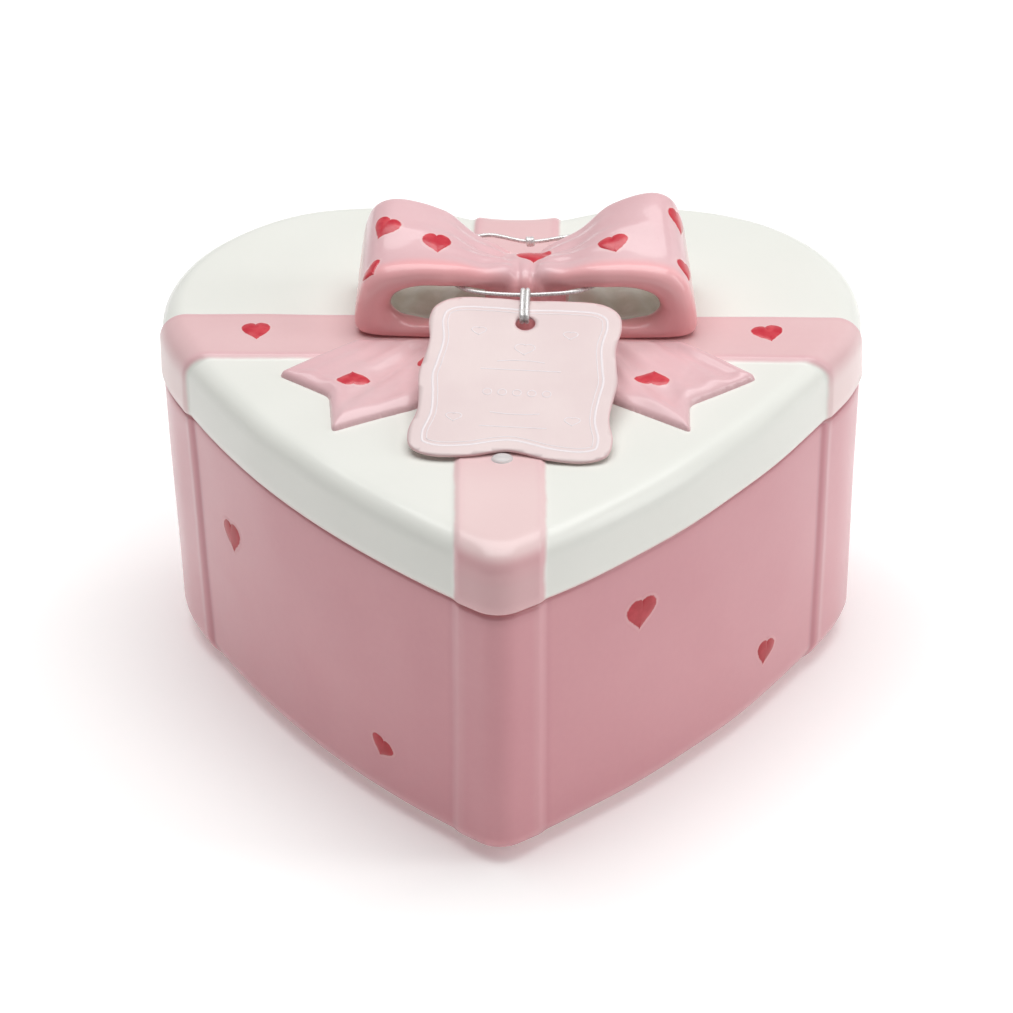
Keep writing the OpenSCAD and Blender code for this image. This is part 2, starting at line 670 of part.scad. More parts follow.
module governor_bracket() {
    color("darkgoldenrod") difference() {
        union() {
            at_key(36.9, 5.2, bed_top) cube([9.7, 16, 1.5]);
            upright(37, 1.3, governor_y, 2.4, bed_top, governor_z, pivot_r + fit);
            upright(42.2, 1.3, governor_y, 2.4, bed_top, governor_z, pivot_r + fit);
            at_key(fly_x - 2, fly_y + 5, bed_top) cube([4, 1.3, bracket_top + 1.1 - bed_top]);
            at_key(fly_x - 2, fly_y - 1.8, bracket_top) cube([4, 8.1, 1.1]);
            at_key(fly_x, fly_y, bed_top + 1) cylinder(h = 2.2, r = 1.5, $fn = 32);
        }
        at_key(fly_x, fly_y, bed_top + 2) cylinder(h = 30, r = pivot_r + fit, $fn = 32);
        for (p = governor_screw_places) at_key(p.x, p.y, bed_top - 1) cylinder(h = 4, r = 0.85, $fn = 24);
    }
}

module governor_screws() {
    color("silver") for (p = governor_screw_places) at_key(p.x, p.y, bed_top + 1.5)
        screw(1.3, 0.8, 0.8, 3.4);
}

// Shaft with the leaf pinion at one end and the worm wheel near the other
module governor_wheel() {
    color("#c9a45c") {
        along_x(33.9, governor_y, governor_z) cylinder(h = 9.9, r = pivot_r, $fn = 24);
        along_x(34.3, governor_y, governor_z) rotate([0, 0, governor_turn + 180 + 180 / leaf_teeth])
            linear_extrude(1.8) toothed(leaf_teeth, leaf_r - 0.45, leaf_r + 0.36, 0.26, 0.11);
        along_x(fly_x - 0.4, governor_y, governor_z) rotate([0, 0, 90]) linear_extrude(0.8)
            toothed(worm_teeth, worm_wheel_r - 0.6, worm_wheel_r + 0.4, 0.28, 0.1);
        along_x(fly_x - 1.2, governor_y, governor_z) cylinder(h = 2.4, r = 1.1, $fn = 32);
    }
}

// Worm and fan on one upright shaft
module fly() {
    worm_turns = 5;
    color("#d8d8d8") at_key(fly_x, fly_y, 0) {
        translate([0, 0, bed_top + 2.1]) cylinder(h = bracket_top - bed_top - 1.2, r = pivot_r, $fn = 24);
        translate([0, 0, governor_z - worm_pitch * worm_turns / 2]) rotate([0, 0, -90])
            linear_extrude(worm_pitch * worm_turns, twist = -360 * worm_turns, slices = 10 * worm_turns)
                translate([worm_depth, 0]) circle(r = worm_r, $fn = 14);
        translate([0, 0, 33.8]) cylinder(h = 5, r = 1, $fn = 32);
        translate([-4.2, -0.25, 34.2]) cube([8.4, 0.5, 4.2]);
    }
}

// ---- stop rod ----

module rod_guide() {
    color("gold") translate([rod_x, rod_y, 0]) difference() {
        union() {
            translate([0, 0, chamber_z - 1.5]) cylinder(h = 55.5 - chamber_z, r = 2.2, $fn = 48);
            translate([0, 0, well_z]) cylinder(h = 1, r = 4, $fn = 48);
        }
        translate([0, 0, chamber_z - 3]) cylinder(h = 20, r = rod_r + fit, $fn = 32);
    }
}

rod_low = 34.6;
cap_h = 3.4;
finger_x = key_x + fly_x + 4.5;

// Rod that the lid holds down, cranked to a finger beside the fan
module stop_rod() {
    color("silver") {
        translate([rod_x, rod_y, rod_low]) cylinder(h = lid_under - 0.6 - rod_low, r = rod_r, $fn = 32);
        translate([finger_x + 0.6, rod_y, rod_low + 1]) rotate([0, 90, 0])
            cylinder(h = rod_x - finger_x - 0.6, r = 0.8, $fn = 24);
        translate([finger_x, rod_y - 1.2, rod_low]) cube([1, 2.4, 3]);
    }
}

module stop_rod_cap() {
    color("white") translate([rod_x, rod_y, lid_under - cap_h]) difference() {
        union() {
            cylinder(h = cap_h, r = 2, $fn = 48);
            cylinder(h = 0.8, r = 2.7, $fn = 48);
        }
        translate([0, 0, -1]) cylinder(h = cap_h + 0.4, r = rod_r + 0.02, $fn = 32);
    }
}

// Compression spring between the guide's top and the cap
module stop_spring() {
    turns = 6;
    low = 54.3;
    high = lid_under - cap_h - 0.3;
    path = [for (i = [0:10 * turns]) let (a = 36 * i) [1.75 * cos(a), 1.75 * sin(a),
        low + (high - low) * i / (10 * turns)]];
    color("lightsteelblue") translate([rod_x, rod_y, 0]) open_cord(path, [0, 0, 1], 0.25, 6);
}

base_shell();
foot_pads();
lid();
bow();
bow_tails();
tag_cord();
tag_hitch();
gift_tag();
bottom_plate();
plate_screws();
bedplate();
barrel_bridge();
bridge_screws();
spring_barrel();
barrel_cap();
mainspring();
winding_arbor();
ratchet_wheel();
winding_key();
click();
click_screw();
click_spring();
pinned_cylinder();
cylinder_arbor();
cylinder_wheel();
comb();
comb_spacer();
comb_screws();
governor_bracket();
governor_screws();
governor_wheel();
fly();
rod_guide();
stop_rod();
stop_rod_cap();
stop_spring();
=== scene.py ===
"""Looks of the heart-shaped ceramic music box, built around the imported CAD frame.

Lengths are in millimetres in the part's own frame until a mesh is made; the heart's tip points to -Y.
"""
import json
import math

import bmesh
import bpy
import numpy as np
from mathutils import Matrix, Vector
from mathutils.bvhtree import BVHTree
from mathutils.geometry import delaunay_2d_cdt


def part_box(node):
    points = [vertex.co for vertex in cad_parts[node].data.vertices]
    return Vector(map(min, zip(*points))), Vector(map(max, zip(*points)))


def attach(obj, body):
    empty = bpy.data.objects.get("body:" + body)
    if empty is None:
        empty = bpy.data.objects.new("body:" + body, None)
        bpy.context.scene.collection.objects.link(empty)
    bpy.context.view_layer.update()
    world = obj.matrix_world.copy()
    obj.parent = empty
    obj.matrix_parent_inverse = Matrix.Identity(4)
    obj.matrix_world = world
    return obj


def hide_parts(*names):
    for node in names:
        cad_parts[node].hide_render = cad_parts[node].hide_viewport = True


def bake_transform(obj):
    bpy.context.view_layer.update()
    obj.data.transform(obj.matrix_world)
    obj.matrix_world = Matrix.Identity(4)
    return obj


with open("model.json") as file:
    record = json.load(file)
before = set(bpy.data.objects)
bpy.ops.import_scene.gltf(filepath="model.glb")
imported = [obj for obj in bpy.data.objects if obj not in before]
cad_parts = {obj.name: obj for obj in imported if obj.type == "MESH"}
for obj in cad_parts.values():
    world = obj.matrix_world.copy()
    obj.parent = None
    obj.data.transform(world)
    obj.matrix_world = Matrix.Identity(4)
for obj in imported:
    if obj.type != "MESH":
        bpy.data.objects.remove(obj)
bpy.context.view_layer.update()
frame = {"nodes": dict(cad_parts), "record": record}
MM = 0.001


def node_box(node):
    """Lowest and highest corner of a CAD node in millimetres."""
    low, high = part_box(node)
    return np.array(low) / MM, np.array(high) / MM


# ---- sizes ----

lid_low, lid_high = node_box("lid")
base_low, base_high = node_box("base_shell")
guide_low, guide_high = node_box("rod_guide")

BOX_W = lid_high[0] - lid_low[0]
BOX_D = 146.0
BAND_W = 18.0
BAND_T = 0.8
BAND_Y = 13.3
JOINT_Z = lid_low[2]
SEAT_Z = lid_high[2]
LID_Z = SEAT_Z - BAND_T
LID_UNDER = LID_Z - 4.6
LID_EDGE_R = 5.0
COLLAR_Z = base_high[2]
PAD_H = base_low[2]
CHAMBER_Z = 42.0
WELL_Z = 46.0
LEDGE_Z = node_box("bottom_plate")[1][2]
FOOT_R = 6.0
FOOT_IN = 2.3
ROD = (guide_low[:2] + guide_high[:2]) / 2
ROD_HOLE_R = 2.3

LOBE_X = 30.8
LOBE_R = BOX_W / 2 - LOBE_X
LOBE_Y = BOX_D / 2 - LOBE_R + BAND_T / 2
FLANK_R = 221.0
TIP_R = 6.4
TIP_Y = -BOX_D / 2 + TIP_R + BAND_T / 2
LEAST_TIP_R = 1.5
SOFT_TIP_R = 6.0
CLEFT_R = 28.0
LOBE_C = np.array([LOBE_X, LOBE_Y])
CLEFT_C = np.array([0.0, LOBE_Y + math.sqrt((LOBE_R + CLEFT_R) ** 2 - LOBE_X ** 2)])

KNOT_X = 3.7
BOW_FRONT = 11.4
BOW_BACK = 36.4
BOW_DEPTH = BOW_BACK - BOW_FRONT
SEAT_REACH = 31.0
SEAT_FRONT = 14.0
SEAT_BACK = 33.0
TIP_LEAN = 1.1

HITCH = np.array([3.4, 10.8, 89.2])
TAG_SLOPE = 13.4
TAG_GAP = 1.6
TAG_T = 0.6
TAG_TURN = 3.5
HOLE_V = 8.8
HOLE_R = 2.1
CORD_R = 0.45

# Depths inside the bands that are well off them and well on them.
OFF_BAND = -9.0
ON_BAND = 9.0
MERGE_GAP = 0.002
ROUND = 2 * np.pi


# ---- outline of the heart ----

def norm(v):
    return np.linalg.norm(v, axis=-1)


def flank_centre():
    """Centre of the long arc that joins the tip's arc to the right lobe's."""
    to_lobe = LOBE_C - [0, TIP_Y]
    span = norm(to_lobe)
    reach = FLANK_R - TIP_R
    along = (span ** 2 + reach ** 2 - (FLANK_R - LOBE_R) ** 2) / (2 * span)
    chord = to_lobe / span
    return np.array([0, TIP_Y]) + along * chord + math.sqrt(reach ** 2 - along ** 2) * np.array(
        [-chord[1], chord[0]])


FLANK_C = flank_centre()


def bearing(v):
    return math.degrees(math.atan2(v[1], v[0]))


def arc(centre, radius, start, end, n):
    a = np.radians(np.linspace(start, end, n))
    return np.asarray(centre) + radius * np.c_[np.cos(a), np.sin(a)]


def circle(centre, radius, n):
    a = np.linspace(0, ROUND, n, endpoint=False)
    return np.asarray(centre) + radius * np.c_[np.cos(a), np.sin(a)]


def half_outline(grow, least=LEAST_TIP_R):
    """Fine right half of the outline grown by a distance, from the tip to the cleft."""
    tip_r = max(TIP_R + grow, least)
    tip = np.array([0, FLANK_C[1] - math.sqrt((FLANK_R + grow - tip_r) ** 2 - FLANK_C[0] ** 2)])
    at_tip = bearing(tip - FLANK_C)
    at_lobe = bearing(LOBE_C - FLANK_C)
    return np.concatenate([
        arc(tip, tip_r, -90, at_tip, 60),
        arc(FLANK_C, FLANK_R + grow, at_tip, at_lobe, 400)[1:],
        arc(LOBE_C, LOBE_R + grow, at_lobe, bearing(CLEFT_C - LOBE_C), 500)[1:],
        arc(CLEFT_C, CLEFT_R - grow, bearing(LOBE_C - CLEFT_C), -90, 60)[1:]])


def key_lengths(line, length):
    """Distances along a half outline to the tip, the edges of the bands, and the cleft."""
    x, y = line[:, 0], line[:, 1]
    widest, highest = int(np.argmax(x)), int(np.argmax(y))
    half = BAND_W / 2
    return np.array([
        0,
        np.interp(half, x[:widest], length[:widest]),
        *np.interp([BAND_Y - half, BAND_Y + half], y[:highest], length[:highest]),
        np.interp(half, x[widest:][::-1], length[widest:][::-1]),
        length[-1]])


def along_line(line):
    return np.r_[0, np.cumsum(norm(np.diff(line, axis=0)))]


def points_at(line, length, at):
    """Points of a line at the given distances along it."""
    return np.stack([np.interp(at, length, values) for values in line.T], -1)


def graded(span, fine_start, fine_end, coarse=1.25, fine=0.3, reach=1.5):
    """Fractions of a span, closer together at the ends that lie on a band's edge."""
    head = np.arange(0, reach, fine) if fine_start else np.array([0.0])
    tail = span - np.arange(fine, reach + fine / 2, fine)[::-1] if fine_end else np.array([])
    start = head[-1] + (fine if fine_start else coarse)
    end = tail[0] - fine if fine_end else span - coarse
    middle = np.linspace(start, end, max(2, round((end - start) / coarse) + 1))
    return np.concatenate([head, middle, tail]) / span


def column_fractions():
    line = half_outline(0)
    keys = key_lengths(line, along_line(line))
    ends = [(False, True), (True, True), (True, True), (True, True), (True, False)]
    return [graded(b - a, *e) for a, b, e in zip(keys[:-1], keys[1:], ends)]


COLUMNS = column_fractions()


def heart(grow, least=LEAST_TIP_R):
    """Closed outline grown by a distance, whose points keep their place on the bands."""
    line = half_outline(grow, least)
    length = along_line(line)
    keys = key_lengths(line, length)
    at = np.concatenate([a + f * (b - a) for a, b, f in zip(keys[:-1], keys[1:], COLUMNS)]
                        + [[length[-1]]])
    right = points_at(line, length, at)
    return np.concatenate([right, right[-2:0:-1] * [-1, 1]])


def band_depth(x, y):
    """Distance inside the nearest edge of the crossed bands; negative outside them."""
    return np.maximum(BAND_W / 2 - np.abs(x), BAND_W / 2 - np.abs(y - BAND_Y))


def seat_depth(x, y):
    """Distance inside the rectangle that the bow stands on."""
    middle = (SEAT_FRONT + SEAT_BACK) / 2
    return np.minimum(SEAT_REACH - np.abs(x - KNOT_X), (SEAT_BACK - SEAT_FRONT) / 2 - np.abs(y - middle))


def smoothstep(t):
    t = np.clip(t, 0, 1)
    return t * t * (3 - 2 * t)


def relief(depth, soft=0.9):
    """Height of a band's relief, from 0 off the band to 1 on it."""
    return smoothstep((depth + soft) / (2 * soft))


# ---- mesh helpers ----

WAVES = [(0.19, 0.11, 0.07, 0.4), (-0.08, 0.17, 0.13, 1.9), (0.23, -0.15, 0.05, 3.1)]
WAVE_H = 0.055


def uneven(points):
    """The slight unevenness of slip-cast ware, and the small lean of the heart's tip."""
    p = np.asarray(points, float)
    shift = np.zeros_like(p)
    for *wave, phase in WAVES:
        shift += WAVE_H * np.sin((p @ wave)[:, None] + phase + 2.1 * np.arange(3))
    shift[:, 0] += TIP_LEAN * smoothstep((-p[:, 1] - 20) / 50) * np.clip(p[:, 2] / JOINT_Z, 0, 1.2)
    return p + shift


def grid_faces(rows, cols, wrap_cols=True, wrap_rows=False):
    i = np.arange(rows if wrap_rows else rows - 1)[:, None]
    j = np.arange(cols if wrap_cols else cols - 1)[None, :]
    k, n = (j + 1) % cols, (i + 1) % rows
    return np.stack([i * cols + j, i * cols + k, n * cols + k, n * cols + j], -1).reshape(-1, 4)


def placed(name, data):
    """A new object in the scene."""
    thing = bpy.data.objects.new(name, data)
    bpy.context.scene.collection.objects.link(thing)
    return thing


def surface_tree(piece):
    return BVHTree.FromObject(piece, bpy.context.evaluated_depsgraph_get())


def set_values(mesh, name, data):
    """Writes one value for each point of a mesh."""
    mesh.attributes.new(name, "FLOAT", "POINT").data.foreach_set("value", np.asarray(data, np.float32))


def make_mesh(name, points, faces, values=None, merge=True):
    """A mesh object from points in millimetres, with smooth faces and named point values."""
    mesh = bpy.data.meshes.new(name)
    mesh.from_pydata((np.asarray(points) * MM).tolist(), [], [list(map(int, f)) for f in faces])
    for key, data in (values or {}).items():
        set_values(mesh, key, data)
    bm = bmesh.new()
    bm.from_mesh(mesh)
    if merge:
        bmesh.ops.remove_doubles(bm, verts=bm.verts, dist=MERGE_GAP * MM)
    bmesh.ops.recalc_face_normals(bm, faces=bm.faces)
    bm.to_mesh(mesh)
    bm.free()
    mesh.shade_smooth()
    return placed(name, mesh)


def joined(parts):
    """Several parts as one: their points, their faces, and their point values, if they have any."""
    points, faces, *values = zip(*parts)
    starts = np.cumsum([0, *map(len, points)])
    moved = [[int(v) + start for v in f] for part, start in zip(faces, starts) for f in part]
    return (np.concatenate(points), moved, *map(np.concatenate, values))


def stacked(outline, heights):
    """Copies of a flat outline at several heights."""
    return np.concatenate([np.c_[outline, np.full(len(outline), z)] for z in heights])


def inside(points, outline):
    """Which points lie inside a closed outline."""
    x, y = points[:, 0][:, None], points[:, 1][:, None]
    a, b = outline, np.roll(outline, -1, axis=0)
    crosses = (a[:, 1] > y) != (b[:, 1] > y)
    rise = np.where(b[:, 1] == a[:, 1], 1, b[:, 1] - a[:, 1])
    return (crosses & (x < (b[:, 0] - a[:, 0]) * (y - a[:, 1]) / rise + a[:, 0])).sum(1) % 2 == 1


def edge_distance(points, outline):
    """Distance from each point to a closed outline."""
    best = np.full(len(points), np.inf)
    for a, b in zip(outline, np.roll(outline, -1, axis=0)):
        d = b - a
        t = np.clip(((points - a) @ d) / max(d @ d, 1e-12), 0, 1)
        best = np.minimum(best, norm(points - a - t[:, None] * d))
    return best


def line_places(low, high, edges, coarse, fine=0.35, reach=1.4):
    """Places of grid lines, closer together near the named edges."""
    places = set(np.round(np.arange(low, high, coarse), 3))
    for e in edges:
        places = {p for p in places if abs(p - e) > reach + coarse / 3}
        places |= set(np.round(np.arange(e - reach, e + reach + fine / 2, fine), 3))
    return np.array(sorted(places))


def flat_fill(outline, spacing, edges=((), ()), holes=()):
    """Triangles that fill an outline around its holes, on a grid of the given spacing."""
    low, high = outline.min(0), outline.max(0)
    xs = line_places(low[0], high[0], edges[0], spacing)
    ys = line_places(low[1], high[1], edges[1], spacing)
    grid = np.stack(np.meshgrid(xs, ys), -1).reshape(-1, 2)
    grid = grid[inside(grid, outline)]
    for ring in (outline, *holes):
        grid = grid[edge_distance(grid, ring) > 0.3 * spacing]
    for hole in holes:
        grid = grid[~inside(grid, hole)]
    rings, borders, start = [outline, *holes], [], 0
    for ring in rings:
        borders += [(start + i, start + (i + 1) % len(ring)) for i in range(len(ring))]
        start += len(ring)
    points = np.concatenate([*rings, grid])
    found = delaunay_2d_cdt([Vector(p) for p in points], borders, [], 0, 1e-7)
    flat = np.array([tuple(v) for v in found[0]])
    faces = np.array([f for f in found[2] if len(f) == 3])
    middles = flat[faces].mean(1)
    keep = inside(middles, outline)
    for hole in holes:
        keep &= ~inside(middles, hole)
    return flat, faces[keep]


def smooth_line(points, n, closed=False):
    """Catmull-Rom curve through the points, n steps for each span."""
    p = np.asarray(points, float)
    m = len(p)
    out = []
    for i in range(m if closed else m - 1):
        a, b, c, d = (p[(i + k) % m] if closed else p[min(max(i + k, 0), m - 1)] for k in (-1, 0, 1, 2))
        t = (np.arange(n) / n)[:, None]
        out.append(0.5 * (2 * b + (c - a) * t + (2 * a - 5 * b + 4 * c - d) * t ** 2
                          + (3 * b - a - 3 * c + d) * t ** 3))
    return np.concatenate(out if closed else out + [p[-1:]])


def directions(line, closed=True):
    """Unit direction of a line at each of its points."""
    step = np.roll(line, -1, 0) - np.roll(line, 1, 0) if closed else np.gradient(line, axis=0)
    return step / norm(step)[:, None]


def finish_piece(piece, body, material, slot, *nodes):
    """Puts a piece on its body, with its finish and the CAD nodes that it stands for."""
    piece.data.materials.clear()
    piece.data.materials.append(material)
    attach(piece, body)
    if nodes:
        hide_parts(*nodes)
    return piece


# ---- materials ----

def srgb(r, g, b):
    """Linear colour of an 8-bit sRGB colour."""
    c = np.array([r, g, b]) / 255
    linear = np.where(c <= 0.04045, c / 12.92, ((c + 0.055) / 1.055) ** 2.4)
    return (*map(float, linear), 1.0)


class Shader:
    """Short calls for building one material's node tree."""

    def __init__(self, name):
        self.material = bpy.data.materials.new(name)
        self.material.use_nodes = True
        self.tree = self.material.node_tree
        self.place = self.node("ShaderNodeTexCoord", "Object", {})

    def put(self, socket, value):
        if isinstance(value, bpy.types.NodeSocket):
            self.tree.links.new(value, socket)
        else:
            socket.default_value = value

    def node(self, kind, output, inputs, **settings):
        """An output of a new node with the given inputs and settings."""
        node = self.tree.nodes.new(kind)
        for key, value in settings.items():
            setattr(node, key, value)
        for key, value in inputs.items():
            self.put(node.inputs[key], value)
        return node.outputs[output]

    def math(self, operation, a, b=0.0, c=0.0):
        return self.node("ShaderNodeMath", 0, {0: a, 1: b, 2: c}, operation=operation)

    def times(self, first, *others):
        for other in others:
            first = self.math("MULTIPLY", first, other)
        return first

    def noise(self, scale, detail=2.0, roughness=0.5, stretch=None):
        """Noise with the given number of waves in a metre, stretched along the axes if asked."""
        place = self.place
        if stretch:
            place = self.node("ShaderNodeMapping", 0, {"Vector": place, "Scale": stretch})
        inputs = {"Vector": place, "Scale": scale, "Detail": detail, "Roughness": roughness}
        return self.node("ShaderNodeTexNoise", "Fac", inputs)

    def wandering(self, value, scale, detail, size):
        """A value made uneven by noise of the given size."""
        shift = self.math("MULTIPLY_ADD", self.noise(scale, detail), size, -size / 2)
        return self.math("ADD", value, shift)

    def cells(self, scale):
        return self.node("ShaderNodeTexVoronoi", "Distance", {"Vector": self.place, "Scale": scale})

    def value(self, name):
        return self.node("ShaderNodeAttribute", "Fac", {}, attribute_name=name)

    def ramp(self, value, low, high, to_low=0.0, to_high=1.0):
        inputs = {"Value": value, "From Min": low, "From Max": high, "To Min": to_low, "To Max": to_high}
        return self.node("ShaderNodeMapRange", "Result", inputs, interpolation_type="SMOOTHSTEP")

    def along(self, axis, low, high, *shares, both_sides=False):
        """Ramp between two places on an axis of the part, in millimetres."""
        place = self.node("ShaderNodeSeparateXYZ", axis, {0: self.place})
        if both_sides:
            place = self.math("ABSOLUTE", place)
        return self.ramp(place, low * MM, high * MM, *shares)

    def mix(self, share, a, b):
        return self.node("ShaderNodeMix", "Result", {"Factor": share, "A": a, "B": b}, data_type="RGBA")

    def bump(self, height, strength, distance, under=None):
        inputs = {"Strength": strength, "Distance": distance, "Height": height}
        if under is not None:
            inputs["Normal"] = under
        return self.node("ShaderNodeBump", "Normal", inputs)

    def surface(self, **inputs):
        """Sets inputs of the surface; an underscore in a name stands for a space."""
        for key, value in inputs.items():
            self.put(self.tree.nodes["Principled BSDF"].inputs[key.replace("_", " ")], value)
        return self.material


def mottled(s, thick, thin):
    """Colour of a glaze that is slightly thicker and thinner from place to place."""
    clouds = s.ramp(s.noise(26), 0.3, 0.75, 0.15, 0.7)
    flecks = s.ramp(s.noise(620, 1), 0.3, 0.75, 0, 0.05)
    return s.mix(s.math("MULTIPLY_ADD", clouds, 0.6, flecks), thick, thin)


def glazed(s, colour, raw=None, wave=1.0, polish=0.2, coat=0.6):
    """Glossy glaze over a slightly soft body, with faint ripples and pinholes; duller where it is raw."""
    ripples = s.bump(s.noise(80, 1), 0.13 * wave, 0.0006)
    pits = s.ramp(s.cells(130), 0.02, 0.06)
    gloss = s.ramp(s.noise(60, 1), 0.2, 0.8, 0.3, 0.4)
    if raw is not None:
        gloss = s.math("MAXIMUM", gloss, s.times(raw, 0.85))
    s.surface(Base_Color=colour, Roughness=gloss, Normal=s.bump(pits, 0.2, 0.0001, ripples))
    return s.surface(Coat_Weight=coat, Coat_Roughness=polish, Coat_IOR=1.45, IOR=1.45)


def grained(s, colour, grain, rough, relief, **fixed):
    """Surface whose grain shows in its roughness, between two values, and in its bump."""
    s.surface(Base_Color=colour, Roughness=s.ramp(grain, 0.3, 0.7, *rough), Normal=s.bump(grain, *relief))
    return s.surface(**fixed)


# A pair is a glaze where it lies thick and where it lies thin, or the two tones of a finish.
PINK = srgb(212, 142, 151), srgb(228, 164, 170)
PINK_POOL = srgb(186, 112, 124)
PINK_CROWN = srgb(232, 196, 200)
BAND = srgb(231, 190, 192), srgb(243, 213, 213)
BAND_PALE = srgb(247, 226, 223)
BAND_DEEP = srgb(220, 164, 169)
BAND_SHADE = srgb(226, 172, 180)
# Painted shade below the bend of the band at the front of the lid.
BEND_SHADE = srgb(222, 138, 150)
LIP_SHADE = srgb(214, 180, 176)
BOW = srgb(250, 175, 178), srgb(252, 192, 195)
# Crest colour: partly thinner glaze, partly painted light on the bow's upward faces.
CREST_LIGHT = srgb(230, 184, 189), srgb(246, 216, 218)
WHITE = srgb(238, 239, 232), srgb(244, 244, 238)
BISQUE = srgb(247, 246, 238), srgb(230, 228, 216)
RED = srgb(203, 42, 60), srgb(220, 74, 84)
# Darker copy of the hearts' red for the base's walls: painted shade on the walls that face sideways.
RED_WALL_SHADED = srgb(178, 14, 34), srgb(192, 36, 52)
HALO = srgb(244, 208, 206)
CARD = srgb(231, 211, 210), srgb(237, 219, 217)
CARD_EDGE = srgb(232, 182, 186)
FOIL = srgb(235, 224, 227), srgb(244, 236, 238)
SILVER = srgb(214, 212, 210), srgb(250, 249, 248)
CLEAR = srgb(240, 236, 236), srgb(250, 248, 247)
PAPER = srgb(247, 247, 246), srgb(251, 251, 250)


def bisque(s):
    return s.mix(s.ramp(s.noise(160, 4, 0.6), 0.3, 0.7), *BISQUE)


def pink_wall(s):
    """Pink glaze of the base: deeper where it pools beside the bands, paler on their edges."""
    depth = s.value("depth")
    beside = s.along("X", 20, 50, 0.3, 1, both_sides=True)
    pool = s.times(s.ramp(depth, -2.2, -0.7), s.ramp(depth, -0.5, 0.3, 1, 0), beside, 0.5)
    crown = s.times(s.ramp(depth, -0.2, 0.8), s.ramp(depth, 0.9, 2.6, 1, 0), beside, 0.35)
    return s.mix(crown, s.mix(pool, mottled(s, *PINK), PINK_POOL), PINK_CROWN)


def base_material():
    s = Shader("pink_glaze")
    raw = s.value("raw")
    return glazed(s, s.mix(raw, pink_wall(s), bisque(s)), raw)


def lid_colour(s):
    """White glaze with the pink bands painted over the raised ribbon."""
    depth = s.wandering(s.value("depth"), 110, 3, 1.1)
    shade = s.times(s.ramp(depth, -0.4, 0.5), s.ramp(depth, 0.6, 2.4, 1, 0), 0.35)
    pink = s.mix(shade, mottled(s, *BAND), BAND_SHADE)
    pink = s.mix(s.along("Y", -52, -20, 0.5, 0), pink, BAND_PALE)
    hem = s.mix(s.along("X", 30, 50, both_sides=True), BAND_DEEP, BAND_PALE)
    pink = s.mix(s.along("Z", LID_Z - 7, LID_Z - 1.5, 0.7, 0), pink, hem)
    # Painted shade: a deeper pink stripe on the front of the band, just below where it bends down over the
    # lid's edge.
    bend_shade = s.times(s.along("Z", LID_Z - 7.5, LID_Z - 3.2), s.along("Z", LID_Z - 2.6, LID_Z - 0.3, 1, 0),
                   s.along("Y", -60, -45, 0.42, 0))
    pink = s.mix(bend_shade, pink, BEND_SHADE)
    colour = s.mix(s.ramp(depth, -0.75, 0.15), mottled(s, *WHITE), pink)
    return s.mix(s.along("Z", JOINT_Z + 0.25, JOINT_Z + 1.3, 0.75, 0), colour, LIP_SHADE)


def lid_material():
    s = Shader("white_glaze")
    return glazed(s, lid_colour(s), s.value("raw"), coat=0.35)


def ribbon_colour(s):
    """Deeper pink low down and at the front lip, paler on the crests: partly glaze that runs down and pools,
    partly painted light on the upper faces and painted shade on the lower ones.
    """
    crest = s.ramp(s.wandering(s.value("crest"), 70, 3, 0.4), 0, 1)
    return s.mix(crest, mottled(s, *BOW), mottled(s, *CREST_LIGHT))


def bow_material():
    s = Shader("ribbon_glaze")
    raw = s.ramp(s.wandering(s.value("raw"), 240, 2, 0.5), 0.35, 0.65)
    return glazed(s, s.mix(raw, ribbon_colour(s), bisque(s)), raw, 1.6, 0.1)


def heart_material(name, surround, reds=RED, ring=0.4, coat=0.6):
    """Red enamel heart with a pale ring where it meets the glaze around it."""
    s = Shader(name)
    reach = s.wandering(s.value("reach"), 900, 2, 0.14)
    red = s.mix(s.ramp(s.noise(420, 3), 0.35, 0.7), *reds)
    halo = s.mix(s.ramp(reach, 1.04, 1.26, ring, 0), surround(s), HALO)
    return glazed(s, s.mix(s.ramp(reach, 0.95, 1.05), red, halo), coat=coat)


def card_material():
    """Smooth board with a faint fibre and a slightly deeper edge."""
    s = Shader("tag_card")
    tone = s.mix(s.ramp(s.noise(55, 3), 0.3, 0.7), *CARD)
    colour = s.mix(s.ramp(s.value("edge"), 0.0, 0.5, 0.55, 0), tone, CARD_EDGE)
    fibre = s.noise(900, 4, 0.7, (1, 0.35, 1))
    return grained(s, colour, fibre, (0.42, 0.56), (0.12, 0.00015), Sheen_Weight=0.08)


def foil_material():
    s = Shader("silver_foil")
    grain = s.noise(1500, 3)
    s.surface(Base_Color=s.mix(grain, *FOIL), Metallic=0.1)
    return s.surface(Roughness=s.ramp(grain, 0.3, 0.7, 0.32, 0.48))


def elastic_material():
    """Silver thread wound round an elastic core."""
    s = Shader("silver_elastic")
    wrap = s.noise(2600)
    s.surface(Base_Color=s.mix(s.ramp(wrap, 0.3, 0.7), *SILVER), Metallic=0.55)
    return s.surface(Roughness=s.ramp(s.noise(900), 0.3, 0.7, 0.3, 0.45), Normal=s.bump(wrap, 0.2, 0.0001))


def metal(name, dark, light, rough, grain=(1, 1, 0.06), tarnish=None):
    """Turned or drawn metal with fine tool marks and a little uneven colour."""
    s = Shader(name)
    colour = s.mix(s.ramp(s.noise(130, 3), 0.3, 0.72), dark, light)
    if tarnish:
        colour = s.mix(s.ramp(s.noise(310, 4, 0.65), 0.56, 0.75, 0, 0.6), colour, tarnish)
    marks = s.noise(1400, 3, 0.6, grain)
    return grained(s, colour, marks, (rough, rough + 0.16), (0.12, 0.00008), Metallic=1.0)


